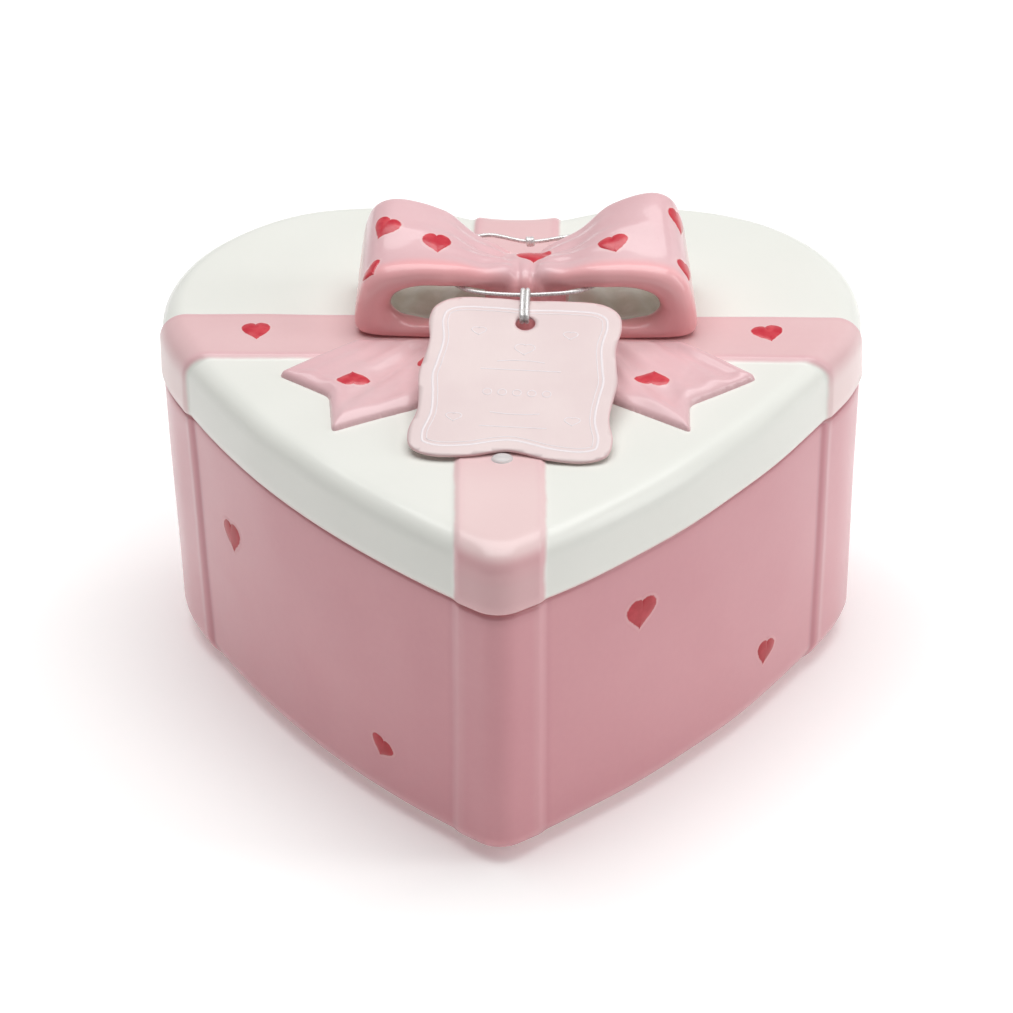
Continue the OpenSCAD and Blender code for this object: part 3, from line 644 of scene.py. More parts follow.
def plastic(name, colour, shade, rough):
    """Moulded plastic with a fine spark-eroded grain."""
    s = Shader(name)
    tone = s.mix(s.ramp(s.noise(90, 3), 0.3, 0.7), colour, shade)
    return grained(s, tone, s.noise(1700, 3), (rough, rough + 0.14), (0.18, 0.0001))


def clear_material(name, clear=0.72):
    s = Shader(name)
    haze = s.noise(500, 3)
    colour = s.mix(haze, *CLEAR)
    return grained(s, colour, haze, (0.1, 0.25), (0.1, 0.0002), Transmission_Weight=clear, IOR=1.42)


# ---- ceramic shells ----

def plain(raw, *points):
    """Profile points of insets and heights that have no relief, with one unglazed share."""
    return [(grow, z, 0, 0, raw) for grow, z in points]


def fine_profile(profile, step=2.2):
    """A profile with its long spans divided, so that the unevenness shows on them."""
    out = [profile[0]]
    for a, b in zip(profile[:-1], profile[1:]):
        a, b = np.array(a), np.array(b)
        n = max(1, math.ceil(norm(b[:2] - a[:2]) / step))
        out += [tuple(a + (b - a) * k / n) for k in range(1, n + 1)]
    return out


def least_tip(grow, z):
    """Least radius of the heart's tip: softer on the outside of the base, its foot and the lid's edge."""
    wall = grow > -3 and z < JOINT_Z
    foot = grow > -9 and z < PAD_H + FOOT_R
    lid_edge = grow > -LID_EDGE_R - 0.05 and z > LID_Z - LID_EDGE_R - 0.2
    return SOFT_TIP_R if wall or foot or lid_edge else LEAST_TIP_R


def shell(profile):
    """Rings of a shell, and its first and last outline.

    Each profile point is an inset, a height, the bands' relief outwards and upwards, and the unglazed share.
    """
    rings, depth, raw = [], [], []
    for grow, z, share, lift, bare in fine_profile(profile):
        least = least_tip(grow, z)
        a = heart(grow, least)
        b = heart(grow + BAND_T * share, least) if share else a
        d = band_depth(a[:, 0], a[:, 1])
        s = relief(d)
        rings.append(np.c_[a + (b - a) * s[:, None], z + BAND_T * lift * s])
        depth.append(d if share or lift else np.full(len(a), OFF_BAND))
        raw.append(np.full(len(a), bare))
    faces = grid_faces(len(rings), len(rings[0]))
    part = np.concatenate(rings), faces, np.concatenate(depth), np.concatenate(raw)
    return part, rings[0][:, :2], rings[-1][:, :2]


def ceramic_mesh(name, parts):
    """One mesh from parts that are each points, faces, depth inside the bands, and unglazed share."""
    points, faces, depth, raw = joined(parts)
    return make_mesh(name, uneven(points), faces, {"depth": depth, "raw": raw})


def plain_part(points, faces, raw):
    """A part off the bands, with one unglazed share."""
    return points, faces, np.full(len(points), OFF_BAND), np.full(len(points), raw)


def flat_part(flat, faces, z, raw):
    return plain_part(stacked(flat, [z]), faces, raw)


def base_piece():
    foot = [(-FOOT_IN - FOOT_R * (1 - math.sin(a)), PAD_H + FOOT_R * (1 - math.cos(a)), math.sin(a), 0,
             1 if a < 0.2 else 0) for a in np.linspace(0, math.pi / 2, 14)]
    profile = [
        *plain(1, (-18, CHAMBER_Z), (-16.2, CHAMBER_Z - 1), (-15.6, CHAMBER_Z - 3), (-15.6, LEDGE_Z),
               (-12.6, LEDGE_Z), (-12.6, 1.6), (-12.1, PAD_H)),
        *foot, (-1.3, 40, 1, 0, 0), (-0.6, JOINT_Z - 1.2, 1, 0, 0), (-0.75, JOINT_Z - 0.5, 0.8, 0, 0),
        (-1.1, JOINT_Z - 0.1, 0.4, 0, 0), (-1.6, JOINT_Z, 0, 0, 0),
        *plain(0.4, (-4.7, JOINT_Z), (-4.9, JOINT_Z + 0.2)),
        *plain(0, (-4.9, COLLAR_Z - 1), (-5.2, COLLAR_Z - 0.3), (-5.8, COLLAR_Z), (-7, COLLAR_Z),
               (-7.6, COLLAR_Z - 0.3), (-7.9, COLLAR_Z - 1), (-7.9, WELL_Z + 4), (-8.3, WELL_Z + 2.2),
               (-9.2, WELL_Z + 1), (-10.4, WELL_Z + 0.2), (-12, WELL_Z))]
    wall, first, last = shell(profile)
    hole = circle(ROD, ROD_HOLE_R, 32)
    ceiling = flat_part(*flat_fill(first, 4.0, holes=[hole]), CHAMBER_Z, 1)
    floor = flat_part(*flat_fill(last, 2.4, holes=[hole]), WELL_Z, 0)
    tube = plain_part(stacked(hole, (CHAMBER_Z, WELL_Z)), grid_faces(2, len(hole)), 1)
    piece = ceramic_mesh("base_ceramic", [wall, ceiling, floor, tube])
    return finish_piece(piece, "housing", base_material(), "pink_glaze", "base_shell")


def lid_piece():
    turns = [(math.cos(a), math.sin(a)) for a in np.linspace(0, math.pi / 2, 12)]
    edge = [(LID_EDGE_R * (c - 1), LID_Z + LID_EDGE_R * (s - 1), c, s, 0) for c, s in turns]
    profile = [
        *plain(0, (-10, LID_UNDER), (-6.8, LID_UNDER), (-5.6, LID_UNDER - 0.4), (-4.8, LID_UNDER - 1.3),
               (-4.4, LID_UNDER - 3), (-4.4, JOINT_Z + 0.2)),
        *plain(0.6, (-4.2, JOINT_Z), (-1.1, JOINT_Z)),
        (-0.6, JOINT_Z + 0.1, 0.3, 0, 0), (-0.15, JOINT_Z + 0.5, 0.8, 0, 0), (0, JOINT_Z + 1.1, 1, 0, 0),
        *edge]
    wall, first, last = shell(profile)
    under = flat_part(*flat_fill(first, 4.0), LID_UNDER, 0)
    half = BAND_W / 2
    edges = ((-half, half, KNOT_X - SEAT_REACH, KNOT_X + SEAT_REACH),
             (BAND_Y - half, BAND_Y + half, SEAT_BACK))
    flat, faces = flat_fill(last, 1.5, edges)
    depth = np.maximum(band_depth(flat[:, 0], flat[:, 1]), seat_depth(flat[:, 0], flat[:, 1]))
    top = (np.c_[flat, LID_Z + BAND_T * relief(depth)], faces, depth, np.zeros(len(flat)))
    piece = ceramic_mesh("lid_ceramic", [wall, under, top])
    return finish_piece(piece, "lid", lid_material(), "white_glaze", "lid")


# ---- bow ----

OUTER_FRONT = [(2, 0), (12, -0.3), (24, -0.3), (32.6, -0.2), (36, 1.2), (36.2, 5), (35.4, 9), (34.2, 12.4),
               (31.4, 15.6), (27, 17), (21, 17.4), (15, 16.8), (9, 15), (2, 13)]
OUTER_BACK = [(2, 0), (12, -0.3), (24, -0.3), (32.4, -0.2), (35.8, 1), (35.6, 5.4), (34.8, 10.4), (33.8, 15),
              (31.8, 18.7), (28, 20.2), (22.4, 19.2), (16.6, 16.8), (11.4, 13.2), (2, 9)]
MOUTH = [(5, 4.6), (12, 3.6), (20, 3.3), (24.6, 3.7), (26.8, 4.8), (28.2, 6.4), (28.3, 8), (27.3, 9.8),
         (25, 11), (22, 11.7), (18.4, 11.9), (14, 11.5), (10, 10.4), (5, 8)]
CAVITY = [(3, 3), (12, 2.2), (23, 2.0), (29.4, 2.2), (32, 3.8), (32.5, 6.6), (31.9, 10), (30.8, 13),
          (28.6, 15.8), (25, 16.6), (20, 15.9), (14.8, 13.8), (10, 10.6), (3, 7.5)]
LIP_STEPS = 10


def outline_between(a, b, share):
    """Closed loop outline part of the way from one to another."""
    return smooth_line(np.array(a) * (1 - share) + np.array(b) * share, 9, closed=True)


def pleats(u, share):
    """Soft folds that run out from the knot and fade on the way."""
    fade = np.exp(-((u - 9) / 9) ** 2)
    folds = 0.3 * np.cos(ROUND * (2.3 * share + 0.1)) + 0.16 * np.cos(ROUND * (4.6 * share + 0.4))
    ridge = 0.5 * np.exp(-((share - 0.55) / 0.1) ** 2) * np.exp(-((u - 19) / 9) ** 2)
    return fade * folds + ridge


def loop_ring(flat, share, side, lip):
    """Places one outline of a loop between its front (share 0) and its back (share 1)."""
    u = flat[:, 0]
    pinch = 1 - np.clip((u - 4) / 13, 0, 1)
    front = BOW_FRONT + 3.4 * pinch + lip
    back = BOW_BACK - 5 * pinch - lip
    return np.c_[KNOT_X + side * u, front + (back - front) * share, SEAT_Z + flat[:, 1]]


def lip_reach(a, b):
    """How far a lip bulges past the ribbon's end, from the thickness there."""
    return np.clip(0.45 * norm(b - a), 1.2, 3.4)


def bow_loop(side, tall, wide):
    """One hollow loop of ribbon with thick rounded lips, and its unglazed share."""
    def outer(share):
        flat = outline_between(OUTER_FRONT, OUTER_BACK, smoothstep(share))
        upper = smoothstep((flat[:, 1] - 7) / 5)
        rise = (tall - 1) * share * flat[:, 1] + pleats(flat[:, 0], share)
        return flat + np.c_[(wide - 1) * share * flat[:, 0], upper * rise]

    def inner(share):
        open_front = 1 - smoothstep(share * BOW_DEPTH / 7)
        flat = outline_between(CAVITY, MOUTH, open_front)
        low = 1 - smoothstep((flat[:, 1] - 4) / 4)
        folds = 0.5 * np.sin(0.8 * flat[:, 0] + 4 * share) * (1 - open_front)
        folds *= smoothstep((0.95 - share) / 0.4)
        return flat + np.c_[(wide - 1) * share * flat[:, 0], low * folds + (tall - 1) * share * flat[:, 1]]

    def lip_rings(end, lip):
        a, b = outer(end), inner(end)
        rings = []
        for turn in np.linspace(0, np.pi, LIP_STEPS + 2)[1:-1]:
            ring = loop_ring(a + (b - a) * (1 - math.cos(turn)) / 2, end, side, lip)
            ring[:, 1] += (2 * end - 1) * lip * math.sin(turn)
            rings.append(ring)
        return rings

    shares = np.linspace(0, 1, 26)
    front_lip, back_lip = (lip_reach(outer(end), inner(end)) for end in (0, 1))
    lips = [front_lip + (back_lip - front_lip) * share for share in shares]
    rings = [loop_ring(outer(share), share, side, lip) for share, lip in zip(shares, lips)]
    rings += lip_rings(1, back_lip)
    bare = [0] * len(rings)
    for share, lip in zip(shares[::-1], lips[::-1]):
        rings.append(loop_ring(inner(share), share, side, lip))
        bare.append(smoothstep((min(share, 1 - share) * BOW_DEPTH - 0.6) / 1.2))
    rings += lip_rings(0, front_lip)[::-1]
    bare += [0] * LIP_STEPS
    rows, cols = len(rings), len(rings[0])
    return np.concatenate(rings), grid_faces(rows, cols, wrap_rows=True).tolist(), np.repeat(bare, cols)


KNOT_CREASES = [(-4.4, 0.9, 0.7), (-1.5, 0.6, 0.55), (1.7, 0.9, 0.6), (4.6, 0.8, 0.7)]
KNOT_HALF = 8.6
KNOT_Y = 22.6


def bow_knot():
    """Pinched middle of the bow, with folds down its front."""
    profile = [(31, -0.5), (31.2, 4), (30.4, 9), (28, 11.6), (24, 12.9), (20, 13.7), (16.8, 13.4),
               (14.6, 11.2), (14.0, 6), (14.8, -0.5)]
    line = smooth_line(profile, 6, closed=True)
    places = np.linspace(-KNOT_HALF, KNOT_HALF, 61)
    rings = []
    for x in places:
        tuck = 1 - 0.2 * abs(x / KNOT_HALF) ** 4
        crease = sum(deep * math.exp(-((x - at) / wide) ** 2) for at, deep, wide in KNOT_CREASES)
        for y, z in line:
            low_front = smoothstep((25 - y) / 6)
            k = tuck * (1 - crease * low_front / 13)
            rings.append((KNOT_X + x, KNOT_Y + (y - KNOT_Y) * k, SEAT_Z + z * k))
    rows, cols = len(places), len(line)
    faces = [*grid_faces(rows, cols).tolist(), list(range(cols)), list(range((rows - 1) * cols, rows * cols))]
    return np.array(rings), faces, np.zeros(rows * cols)


def mesh_points(piece):
    """Points of a mesh in millimetres."""
    flat = np.zeros(len(piece.data.vertices) * 3)
    piece.data.vertices.foreach_get("co", flat)
    return flat.reshape(-1, 3) / MM


def fuse(piece, voxel, rounds):
    """Grows the piece's parts into one skin with softened joints, and keeps the unglazed share."""
    source = piece.data
    raw = np.zeros(len(source.vertices))
    source.attributes["raw"].data.foreach_get("value", raw)
    coords = mesh_points(piece) * MM
    tree = surface_tree(piece)
    corners = [list(f.vertices) for f in source.polygons]
    remesh = piece.modifiers.new("skin", "REMESH")
    remesh.mode = "VOXEL"
    remesh.voxel_size = voxel * MM
    smooth = piece.modifiers.new("soft", "SMOOTH")
    smooth.factor = 0.5
    smooth.iterations = rounds
    piece.data = bpy.data.meshes.new_from_object(
        piece.evaluated_get(bpy.context.evaluated_depsgraph_get()))
    piece.modifiers.clear()
    share = []
    for v in piece.data.vertices:
        near = corners[tree.find_nearest(v.co)[2]]
        gaps = norm(coords[near] - np.array(v.co)) + 1e-6
        share.append(float((raw[near] / gaps).sum() / (1 / gaps).sum()))
    set_values(piece.data, "raw", share)
    piece.data.shade_smooth()


def bow_crest(points):
    """Share of the paler crest colour on the bow's upper faces, away from its front lip: partly thinner
    glaze, partly painted light on the faces that turn upwards.
    """
    high = smoothstep((points[:, 2] - SEAT_Z - 6) / 9)
    return high * (0.25 + 0.75 * smoothstep((points[:, 1] - BOW_FRONT - 2) / 4))


def bow_piece():
    points, faces, raw = joined([bow_loop(-1, 1.04, 1.02), bow_loop(1, 1.13, 0.97), bow_knot()])
    piece = make_mesh("bow_ceramic", uneven(points), faces, {"raw": raw}, merge=False)
    fuse(piece, 0.42, 6)
    set_values(piece.data, "crest", bow_crest(mesh_points(piece)))
    return finish_piece(piece, "lid", bow_material(), "ribbon_glaze", "bow")


TAILS = [
    [(-48, -2.7), (-32, 11.4), (-14, 11.4), (0, 4), (-18, -16), (-35.2, -25.4), (-36.6, -11.3)],
    [(53, -2.7), (39, -14), (39.4, -24.8), (22, -12.6), (9, 4), (21, 11.4), (37.4, 11.4)]]
TAIL_H = 2.2
TAIL_LOW = LID_Z - 0.15
TAIL_SUNK = LID_Z - 0.6
# The tails take the crest colour all over: partly thinner glaze, partly painted light on their upturned
# faces.
TAIL_LIT_CREST = 1.0
TAIL_HEARTS = [(-31.8, -6.2), (-16.2, 1.0), (31.0, -5.4)]


def softened(outline, radius, n=6):
    """A closed outline with its corners rounded off."""
    p = np.array(outline, float)
    t = np.linspace(0, 1, n)[:, None]
    out = []
    for a, b, c in zip(np.roll(p, 1, 0), p, np.roll(p, -1, 0)):
        reach = min(radius, norm(a - b) / 3, norm(c - b) / 3)
        start, end = (b + (v - b) / norm(v - b) * reach for v in (a, c))
        out.append((1 - t) ** 2 * start + 2 * t * (1 - t) * b + t ** 2 * end)
    return np.concatenate(out)


def dense(outline, step):
    """A closed outline with its sides divided."""
    out = []
    for a, b in zip(outline, np.roll(outline, -1, axis=0)):
        n = max(1, round(norm(b - a) / step))
        out += [a + (b - a) * k / n for k in range(n)]
    return np.array(out)


def tail_height(flat, outline):
    """Puffed ribbon end: rounded edges, a raised rim, and creases that run out from the knot."""
    d = edge_distance(flat, outline)
    out = flat - [KNOT_X, BOW_BACK]
    angle = np.arctan2(out[:, 0], -out[:, 1])
    creases = 0.4 * np.cos(26 * angle + 0.6) + 0.3 * np.cos(47 * angle + 1.7)
    for heart_at in TAIL_HEARTS:
        creases *= 1 - 0.9 * np.exp(-(norm(flat - heart_at) / 4.5) ** 4)
    rim = 0.25 * np.exp(-((d - 3.0) / 1.3) ** 2)
    round_edge = np.sqrt(np.clip(1 - (1 - np.clip(d / 2.6, 0, 1)) ** 2, 0, 1))
    return round_edge * (TAIL_H - 0.3 + rim + creases * smoothstep((d - 0.8) / 3))


def tails_piece():
    parts = []
    for corners in TAILS:
        outline = dense(softened(corners, 1.6), 0.4)
        flat, faces = flat_fill(outline, 0.45)
        parts += [(np.c_[flat, TAIL_LOW + tail_height(flat, outline)], faces),
                  (stacked(outline, (TAIL_LOW, TAIL_SUNK)), grid_faces(2, len(outline))),
                  (stacked(outline, [TAIL_SUNK]), [range(len(outline))])]
    points, faces = joined(parts)
    crest = np.full(len(points), TAIL_LIT_CREST)
    piece = make_mesh("bow_tail_ceramic", uneven(points), faces, {"raw": 0 * crest, "crest": crest})
    return finish_piece(piece, "lid", bow_material(), "ribbon_glaze", "bow_tails")


# ---- hearts ----

def heart_curve(n):
    """A small heart one unit wide, with its tip downwards."""
    t = np.linspace(0, ROUND, n, endpoint=False)
    x = 16 * np.sin(t) ** 3
    y = 12 * np.cos(t) - 3 * np.cos(2 * t) - 1.2 * np.cos(3 * t) - 0.4 * np.cos(4 * t)
    return np.c_[x, y + 2] / 31


RINGS = [(0.0, 1.0), (0.22, 0.97), (0.42, 0.9), (0.6, 0.78), (0.74, 0.62), (0.85, 0.44), (0.93, 0.27),
         (1.0, 0.1), (1.08, 0.05), (1.2, 0.03), (1.34, -0.12)]
HEART_POINTS = 56
HEART_DROP = 7


def heart_patch(tree, centre, outwards, down, width, height, lift=0.34):
    """A small domed heart, dropped on the surface below it. Its tip points down."""
    n = Vector(outwards).normalized()
    v = Vector(down)
    v = (v - n * v.dot(n)).normalized()
    u = n.cross(v)
    shape = heart_curve(HEART_POINTS) * [width, height]
    points, reach = [], []
    for share, rise in RINGS:
        grown = shape * share
        if share > 1:
            grown = shape * (1 + (share - 1) * width / 2 / norm(shape)[:, None])
        for a, b in grown:
            start = Vector(centre) + u * a - v * b + n * HEART_DROP
            hit, normal, _, _ = tree.ray_cast(start * MM, -n)
            if hit is None:
                hit, normal, _, _ = tree.find_nearest(start * MM - n * HEART_DROP * MM)
            if normal.dot(n) < 0:
                normal = -normal
            points.append(np.array(hit / MM + normal * rise * lift))
            reach.append(share)
    return np.array(points), grid_faces(len(RINGS), HEART_POINTS), np.array(reach)


def heart_set(name, under, body, surround, slot, around, places, **look):
    """All the hearts on one piece as a single mesh; around is the value that the surround's colour reads."""
    tree = surface_tree(under)
    points, faces, reach = joined([heart_patch(tree, *place) for place in places])
    key, level = around
    values = {"reach": reach, key: level(points) if callable(level) else np.full(len(points), level)}
    piece = make_mesh(name, points, faces, values)
    return finish_piece(piece, body, heart_material(name + "_enamel", surround, **look), slot)


def wall_place(x, y, z):
    """Centre and outward direction on the base's wall nearest to a point."""
    outline = heart(-1.0)
    i = int(np.argmin(norm(outline - [x, y])))
    along = outline[(i + 1) % len(outline)] - outline[i - 1]
    return (*outline[i], z), (along[1], -along[0], 0)


def base_hearts(base):
    places = []
    for x, y, z, width, height, tilt in [
            (-58.2, -9.9, 41.4, 7.2, 9.4, 0.1), (-24.8, -50.4, 15.4, 6.4, 6.4, -0.35),
            (29.1, -47.6, 47.5, 8.6, 9.6, -0.12), (54.9, -13.7, 15.7, 6.6, 7.6, -0.3),
            (74, 30, 44, 7.5, 7.5, 0.2), (62, 61, 20, 6.8, 6.8, -0.2), (36, 73, 46, 7.4, 7.4, 0.15),
            (16, 69, 17, 6.4, 6.2, -0.2), (-20, 71, 42, 7.2, 7.2, 0.2), (-48, 70, 18, 6.6, 6.6, 0.25),
            (-72, 42, 40, 7.4, 7.4, -0.15)]:
        centre, outwards = wall_place(x, y, z)
        side = Vector((0, 0, 1)).cross(Vector(outwards).normalized())
        down = Vector((0, 0, -1)) + side * tilt
        places.append((centre, outwards, down, width, height))
    # The base's hearts use the darker red: painted shade on the walls.
    return heart_set("base_hearts", base, "housing", pink_wall, "pink_glaze", ("depth", OFF_BAND), places,
                     reds=RED_WALL_SHADED, ring=0.25, coat=0.15)


def lid_hearts(lid):
    up = (0, 0, 1)
    places = [((-53.7, 14.4, SEAT_Z), up, (0.1, -1, 0), 5.9, 9.0),
              ((55.1, 14.6, SEAT_Z), up, (0.25, -1, 0), 6.6, 8.6)]
    return heart_set("lid_hearts", lid, "lid", lid_colour, "white_glaze", ("depth", ON_BAND), places)


def bow_hearts(bow):
    places = [((-15.0, 21.2, 96), (0.3, -0.1, 0.95), (0.1, -1, -0.1), 6.0, 8.2),
              ((-25.9, 25.6, 96), (-0.6, 0, 0.8), (-0.45, -0.8, -0.4), 5.4, 8.0),
              ((-28.5, 15.2, 92), (-0.75, -0.15, 0.65), (0.3, -1, 0.2), 5.6, 5.2),
              ((5.2, 24.4, 92), (0, -0.12, 1), (0.02, -1, 0), 7.2, 8.6),
              ((22.4, 20.4, 96), (-0.3, -0.1, 0.95), (0.15, -1, 0), 6.3, 7.0),
              ((33.4, 30.0, 94), (0.78, 0, 0.62), (0.25, -1, -0.5), 6.4, 8.2),
              ((36.4, 18.5, 90), (0.85, -0.1, 0.45), (0.3, -1, -0.5), 6.4, 6.4)]
    return heart_set("bow_hearts", bow, "lid", ribbon_colour, "ribbon_glaze", ("crest", bow_crest), places)


def tail_hearts(tails):
    up = (0, 0, 1)
    places = [((x, y, 79), up, down, size, size) for (x, y), down, size in
              zip(TAIL_HEARTS, [(-0.1, 1, 0), (-0.4, 0.9, 0), (0.1, 1, 0)], [6.8, 5.6, 7.2])]
    return heart_set("tail_hearts", tails, "lid", ribbon_colour, "ribbon_glaze", ("crest", TAIL_LIT_CREST),
                     places)


# ---- gift tag ----

TAG_SIDE = [(7, 0), (15, 0.3), (19.2, 2.8), (20.3, 7), (19.6, 12.5), (20.2, 18), (20.8, 22.5), (20.2, 28),
            (20, 33), (21.2, 38.5), (20.2, 43), (15.5, 45), (8.5, 44.6), (3, 43.2)]
TAG_H = 45.0
TAG_SPREAD = [1.0, 1.06]
TAG_SHIFT = 0.8
TAG_BEVEL = 0.09


def tag_outline():
    """Scalloped outline of the card in its own plane, from the middle of its top edge."""
    half = np.array(TAG_SIDE) * [1, -1]
    corners = np.concatenate([[[0, -0.3]], half, [[0, -42.7]], half[::-1] * [-1, 1]])
    return smooth_line(corners, 8, closed=True) * TAG_SPREAD


def on_tag(flat, height):
    """Places points of the card's plane on the resting tag; height is above its middle plane."""
    turn = math.radians(-TAG_TURN)
    pivot = HOLE_V - TAG_GAP
    x = flat[:, 0] + TAG_SHIFT
    y = flat[:, 1] + pivot
    turned = np.c_[x * math.cos(turn) - y * math.sin(turn), x * math.sin(turn) + y * math.cos(turn) - HOLE_V]
    curl = 0.35 * ((turned[:, 1] + HOLE_V) / TAG_H) ** 2 * (turned[:, 1] < -HOLE_V)
    z = np.asarray(height) + curl
    slope = math.radians(TAG_SLOPE)
    return HITCH + np.c_[turned[:, 0], turned[:, 1] * math.cos(slope) - z * math.sin(slope),
                         turned[:, 1] * math.sin(slope) + z * math.cos(slope)]


def tag_piece():
    outline = dense(tag_outline(), 0.5)
    hole = circle((0, TAG_GAP - HOLE_V), HOLE_R, 40)
    flat, faces = flat_fill(outline, 1.1, holes=[hole])
    edge = np.minimum(edge_distance(flat, outline), edge_distance(flat, hole))
    half = TAG_T / 2
    bevel = TAG_BEVEL * (edge < 0.01)
    parts = [(on_tag(flat, half - bevel), faces, edge), (on_tag(flat, bevel - half), faces[:, ::-1], edge)]
    for ring in (outline, hole):
        rim = np.concatenate([on_tag(ring, z) for z in (half - TAG_BEVEL, 0.0, TAG_BEVEL - half)])
        parts.append((rim, grid_faces(3, len(ring)), np.zeros(len(rim))))
    points, faces, edge = joined(parts)
    piece = make_mesh("tag_card", points, faces, {"edge": edge})
    return finish_piece(piece, "tag", card_material(), "tag_card", "gift_tag")


def strip(line, width, closed=True):
    """A thin strip of foil along a line in the card's plane."""
    side = directions(line, closed)[:, ::-1] * [-width / 2, width / 2]
    low, top = TAG_T / 2 - 0.05, TAG_T / 2 + 0.035
    rows = [(line - side, low), (line - side * 0.8, top), (line + side * 0.8, top), (line + side, low)]
    points = np.concatenate([on_tag(p, z) for p, z in rows])
    return points, grid_faces(4, len(line), wrap_cols=closed)


def inset(outline, distance):
    """Outline moved inwards by a distance."""
    side = directions(outline)[:, ::-1] * [-1, 1]
    area = (outline[:, 0] * np.roll(outline[:, 1], -1) - np.roll(outline[:, 0], -1) * outline[:, 1]).sum()
    return outline + side * distance * np.sign(area)


def foil_piece():
    """Silver foil on the card: a double border, small hearts and plain flourishes."""
    outline = dense(tag_outline(), 0.5)
    parts = [strip(inset(outline, 3.0), 0.6), strip(inset(outline, 4.0), 0.26)]
    for x, y, size in [(-9.5, -10.2, 3.0), (9.8, -10.4, 3.0), (-12.2, -36.2, 3.2), (12.4, -36.0, 3.2),
                       (0.6, -15.2, 4.2)]:
        parts.append(strip(heart_curve(28) * size + [x, y], 0.26))
    for x, y, reach, bow in [(0.4, -21.4, 8.4, 0.0), (0.2, -19.0, 5.0, 0.5), (0.3, -34.2, 5.2, -0.4),
                             (0.3, -38.4, 7.0, 0.0)]:
        t = np.linspace(-1, 1, 24)
        parts.append(strip(np.c_[x + reach * t, y + bow * (1 - t ** 2)], 0.3, closed=False))
    for k in range(5):
        parts.append(strip(circle((-6.0 + 3.1 * k, -28.2), 0.9, 16), 0.26))
    piece = make_mesh("tag_foil", *joined(parts), merge=False)
    return finish_piece(piece, "tag", foil_material(), "tag_card")


def glue_dot(lid):
    """Clear dot of glue on the ribbon below the tag."""
    tree = surface_tree(lid)
    rings, sides = 9, 32
    points = []
    for share in np.linspace(0, 1, rings):
        for x, y in circle((0.7, -36.4), share * np.array([2.3, 2.0]), sides):
            hit = tree.ray_cast(Vector((x, y, SEAT_Z + 5)) * MM, Vector((0, 0, -1)))[0]
            points.append((x, y, hit.z / MM + 0.75 * math.sqrt(1 - share ** 2) - 0.03))
    piece = make_mesh("glue_dot", points, grid_faces(rings, sides))
    return finish_piece(piece, "lid", clear_material("clear_glue", 0.3), "clear_silicone")


# ---- elastic ----

CORD_ROUTE = [(-10.8, 15.5, 88.8), (-7.6, 12.2, 89.3), (-3, 10.9, 89.4), (3, 10.8, 89.2), (9, 10.9, 89.4),
              (14.6, 12.2, 89.3), (18, 15.5, 88.8), (20, 21, 88), (20, 28, 87.6), (19, 33.4, 88.4),
              (14, 35.2, 89.6), (4, 35.2, 88.2), (-5, 35.2, 89.8), (-11.4, 33.4, 88.4), (-12.6, 28, 87.6),
              (-12.6, 21, 88)]
CORD_TIE = (4, 35.2, 88.2)
CORD_STEP = 0.16
CORD_SIDES = 12
WRAP_PITCH = 0.62


def wound_tube(path, ref, radius, closed=True, ridge=0.07):
    """Cord with the ridges of the thread that is wound round it."""
    step = directions(path, closed)
    side = np.cross(step, ref)
    side /= norm(side)[:, None]
    up = np.cross(step, side)
    a = np.linspace(0, ROUND, CORD_SIDES, endpoint=False)
    rings = []
    for p, s, u, at in zip(path, side, up, along_line(path)):
        swell = 1 + ridge * np.cos(2 * a - ROUND * at / WRAP_PITCH)
        rings.append(p + radius * swell[:, None] * (np.cos(a)[:, None] * s + np.sin(a)[:, None] * u))
    return np.concatenate(rings), grid_faces(len(path), CORD_SIDES, wrap_rows=closed)


def evenly(path, step):
    """A closed path with points an even distance apart."""
    line = np.r_[path, path[:1]]
    length = along_line(line)
    return points_at(line, length, np.linspace(0, length[-1], round(length[-1] / step) + 1)[:-1])


def elastic_piece():
    route = evenly(smooth_line(CORD_ROUTE, 10, closed=True), CORD_STEP)
    turns = np.linspace(0, ROUND * 2.6, 90)
    x, y, z = CORD_TIE
    coil = np.c_[x + 1.3 * (turns / turns[-1] - 0.5), y + 0.72 * np.cos(turns), z + 0.72 * np.sin(turns)]
    parts = [wound_tube(route, (0, 0, 1), CORD_R), wound_tube(coil, (1, 0, 0), CORD_R * 0.9, closed=False)]
    piece = make_mesh("elastic_loop", *joined(parts), merge=False)
    return finish_piece(piece, "lid", elastic_material(), "silver_elastic", "tag_cord")


HITCH_CORD_R = 0.52
HITCH_SHIFT = 0.5


def hitch_piece():
    gap = 2 * CORD_R + 0.12
    reach = HOLE_V - HOLE_R - 0.1
    a = np.linspace(-np.pi / 2, np.pi / 2, 16)
    end = np.c_[0 * a, gap * np.cos(a), gap * np.sin(a)]
    loop = np.concatenate([end, [0, -reach, 0] - end])
    c, s = math.cos(math.radians(TAG_SLOPE)), math.sin(math.radians(TAG_SLOPE))
    turn = np.array([[1, 0, 0], [0, c, s], [0, -s, c]])
    parts = []
    for side in (-1, 1):
        flat = evenly(loop, CORD_STEP) + [HITCH_SHIFT + side * HITCH_CORD_R, 0, 0]
        parts.append(wound_tube(HITCH + flat @ turn, (1, 0, 0), HITCH_CORD_R))
    piece = make_mesh("elastic_hitch", *joined(parts), merge=False)
    return finish_piece(piece, "tag", elastic_material(), "silver_elastic", "tag_hitch")


# ---- carried CAD nodes ----

SPRING_TURNS = [0, 1.2, 6.3, 7.5]
SPRING_R = 1.75
SPRING_WIRE_R = 0.25


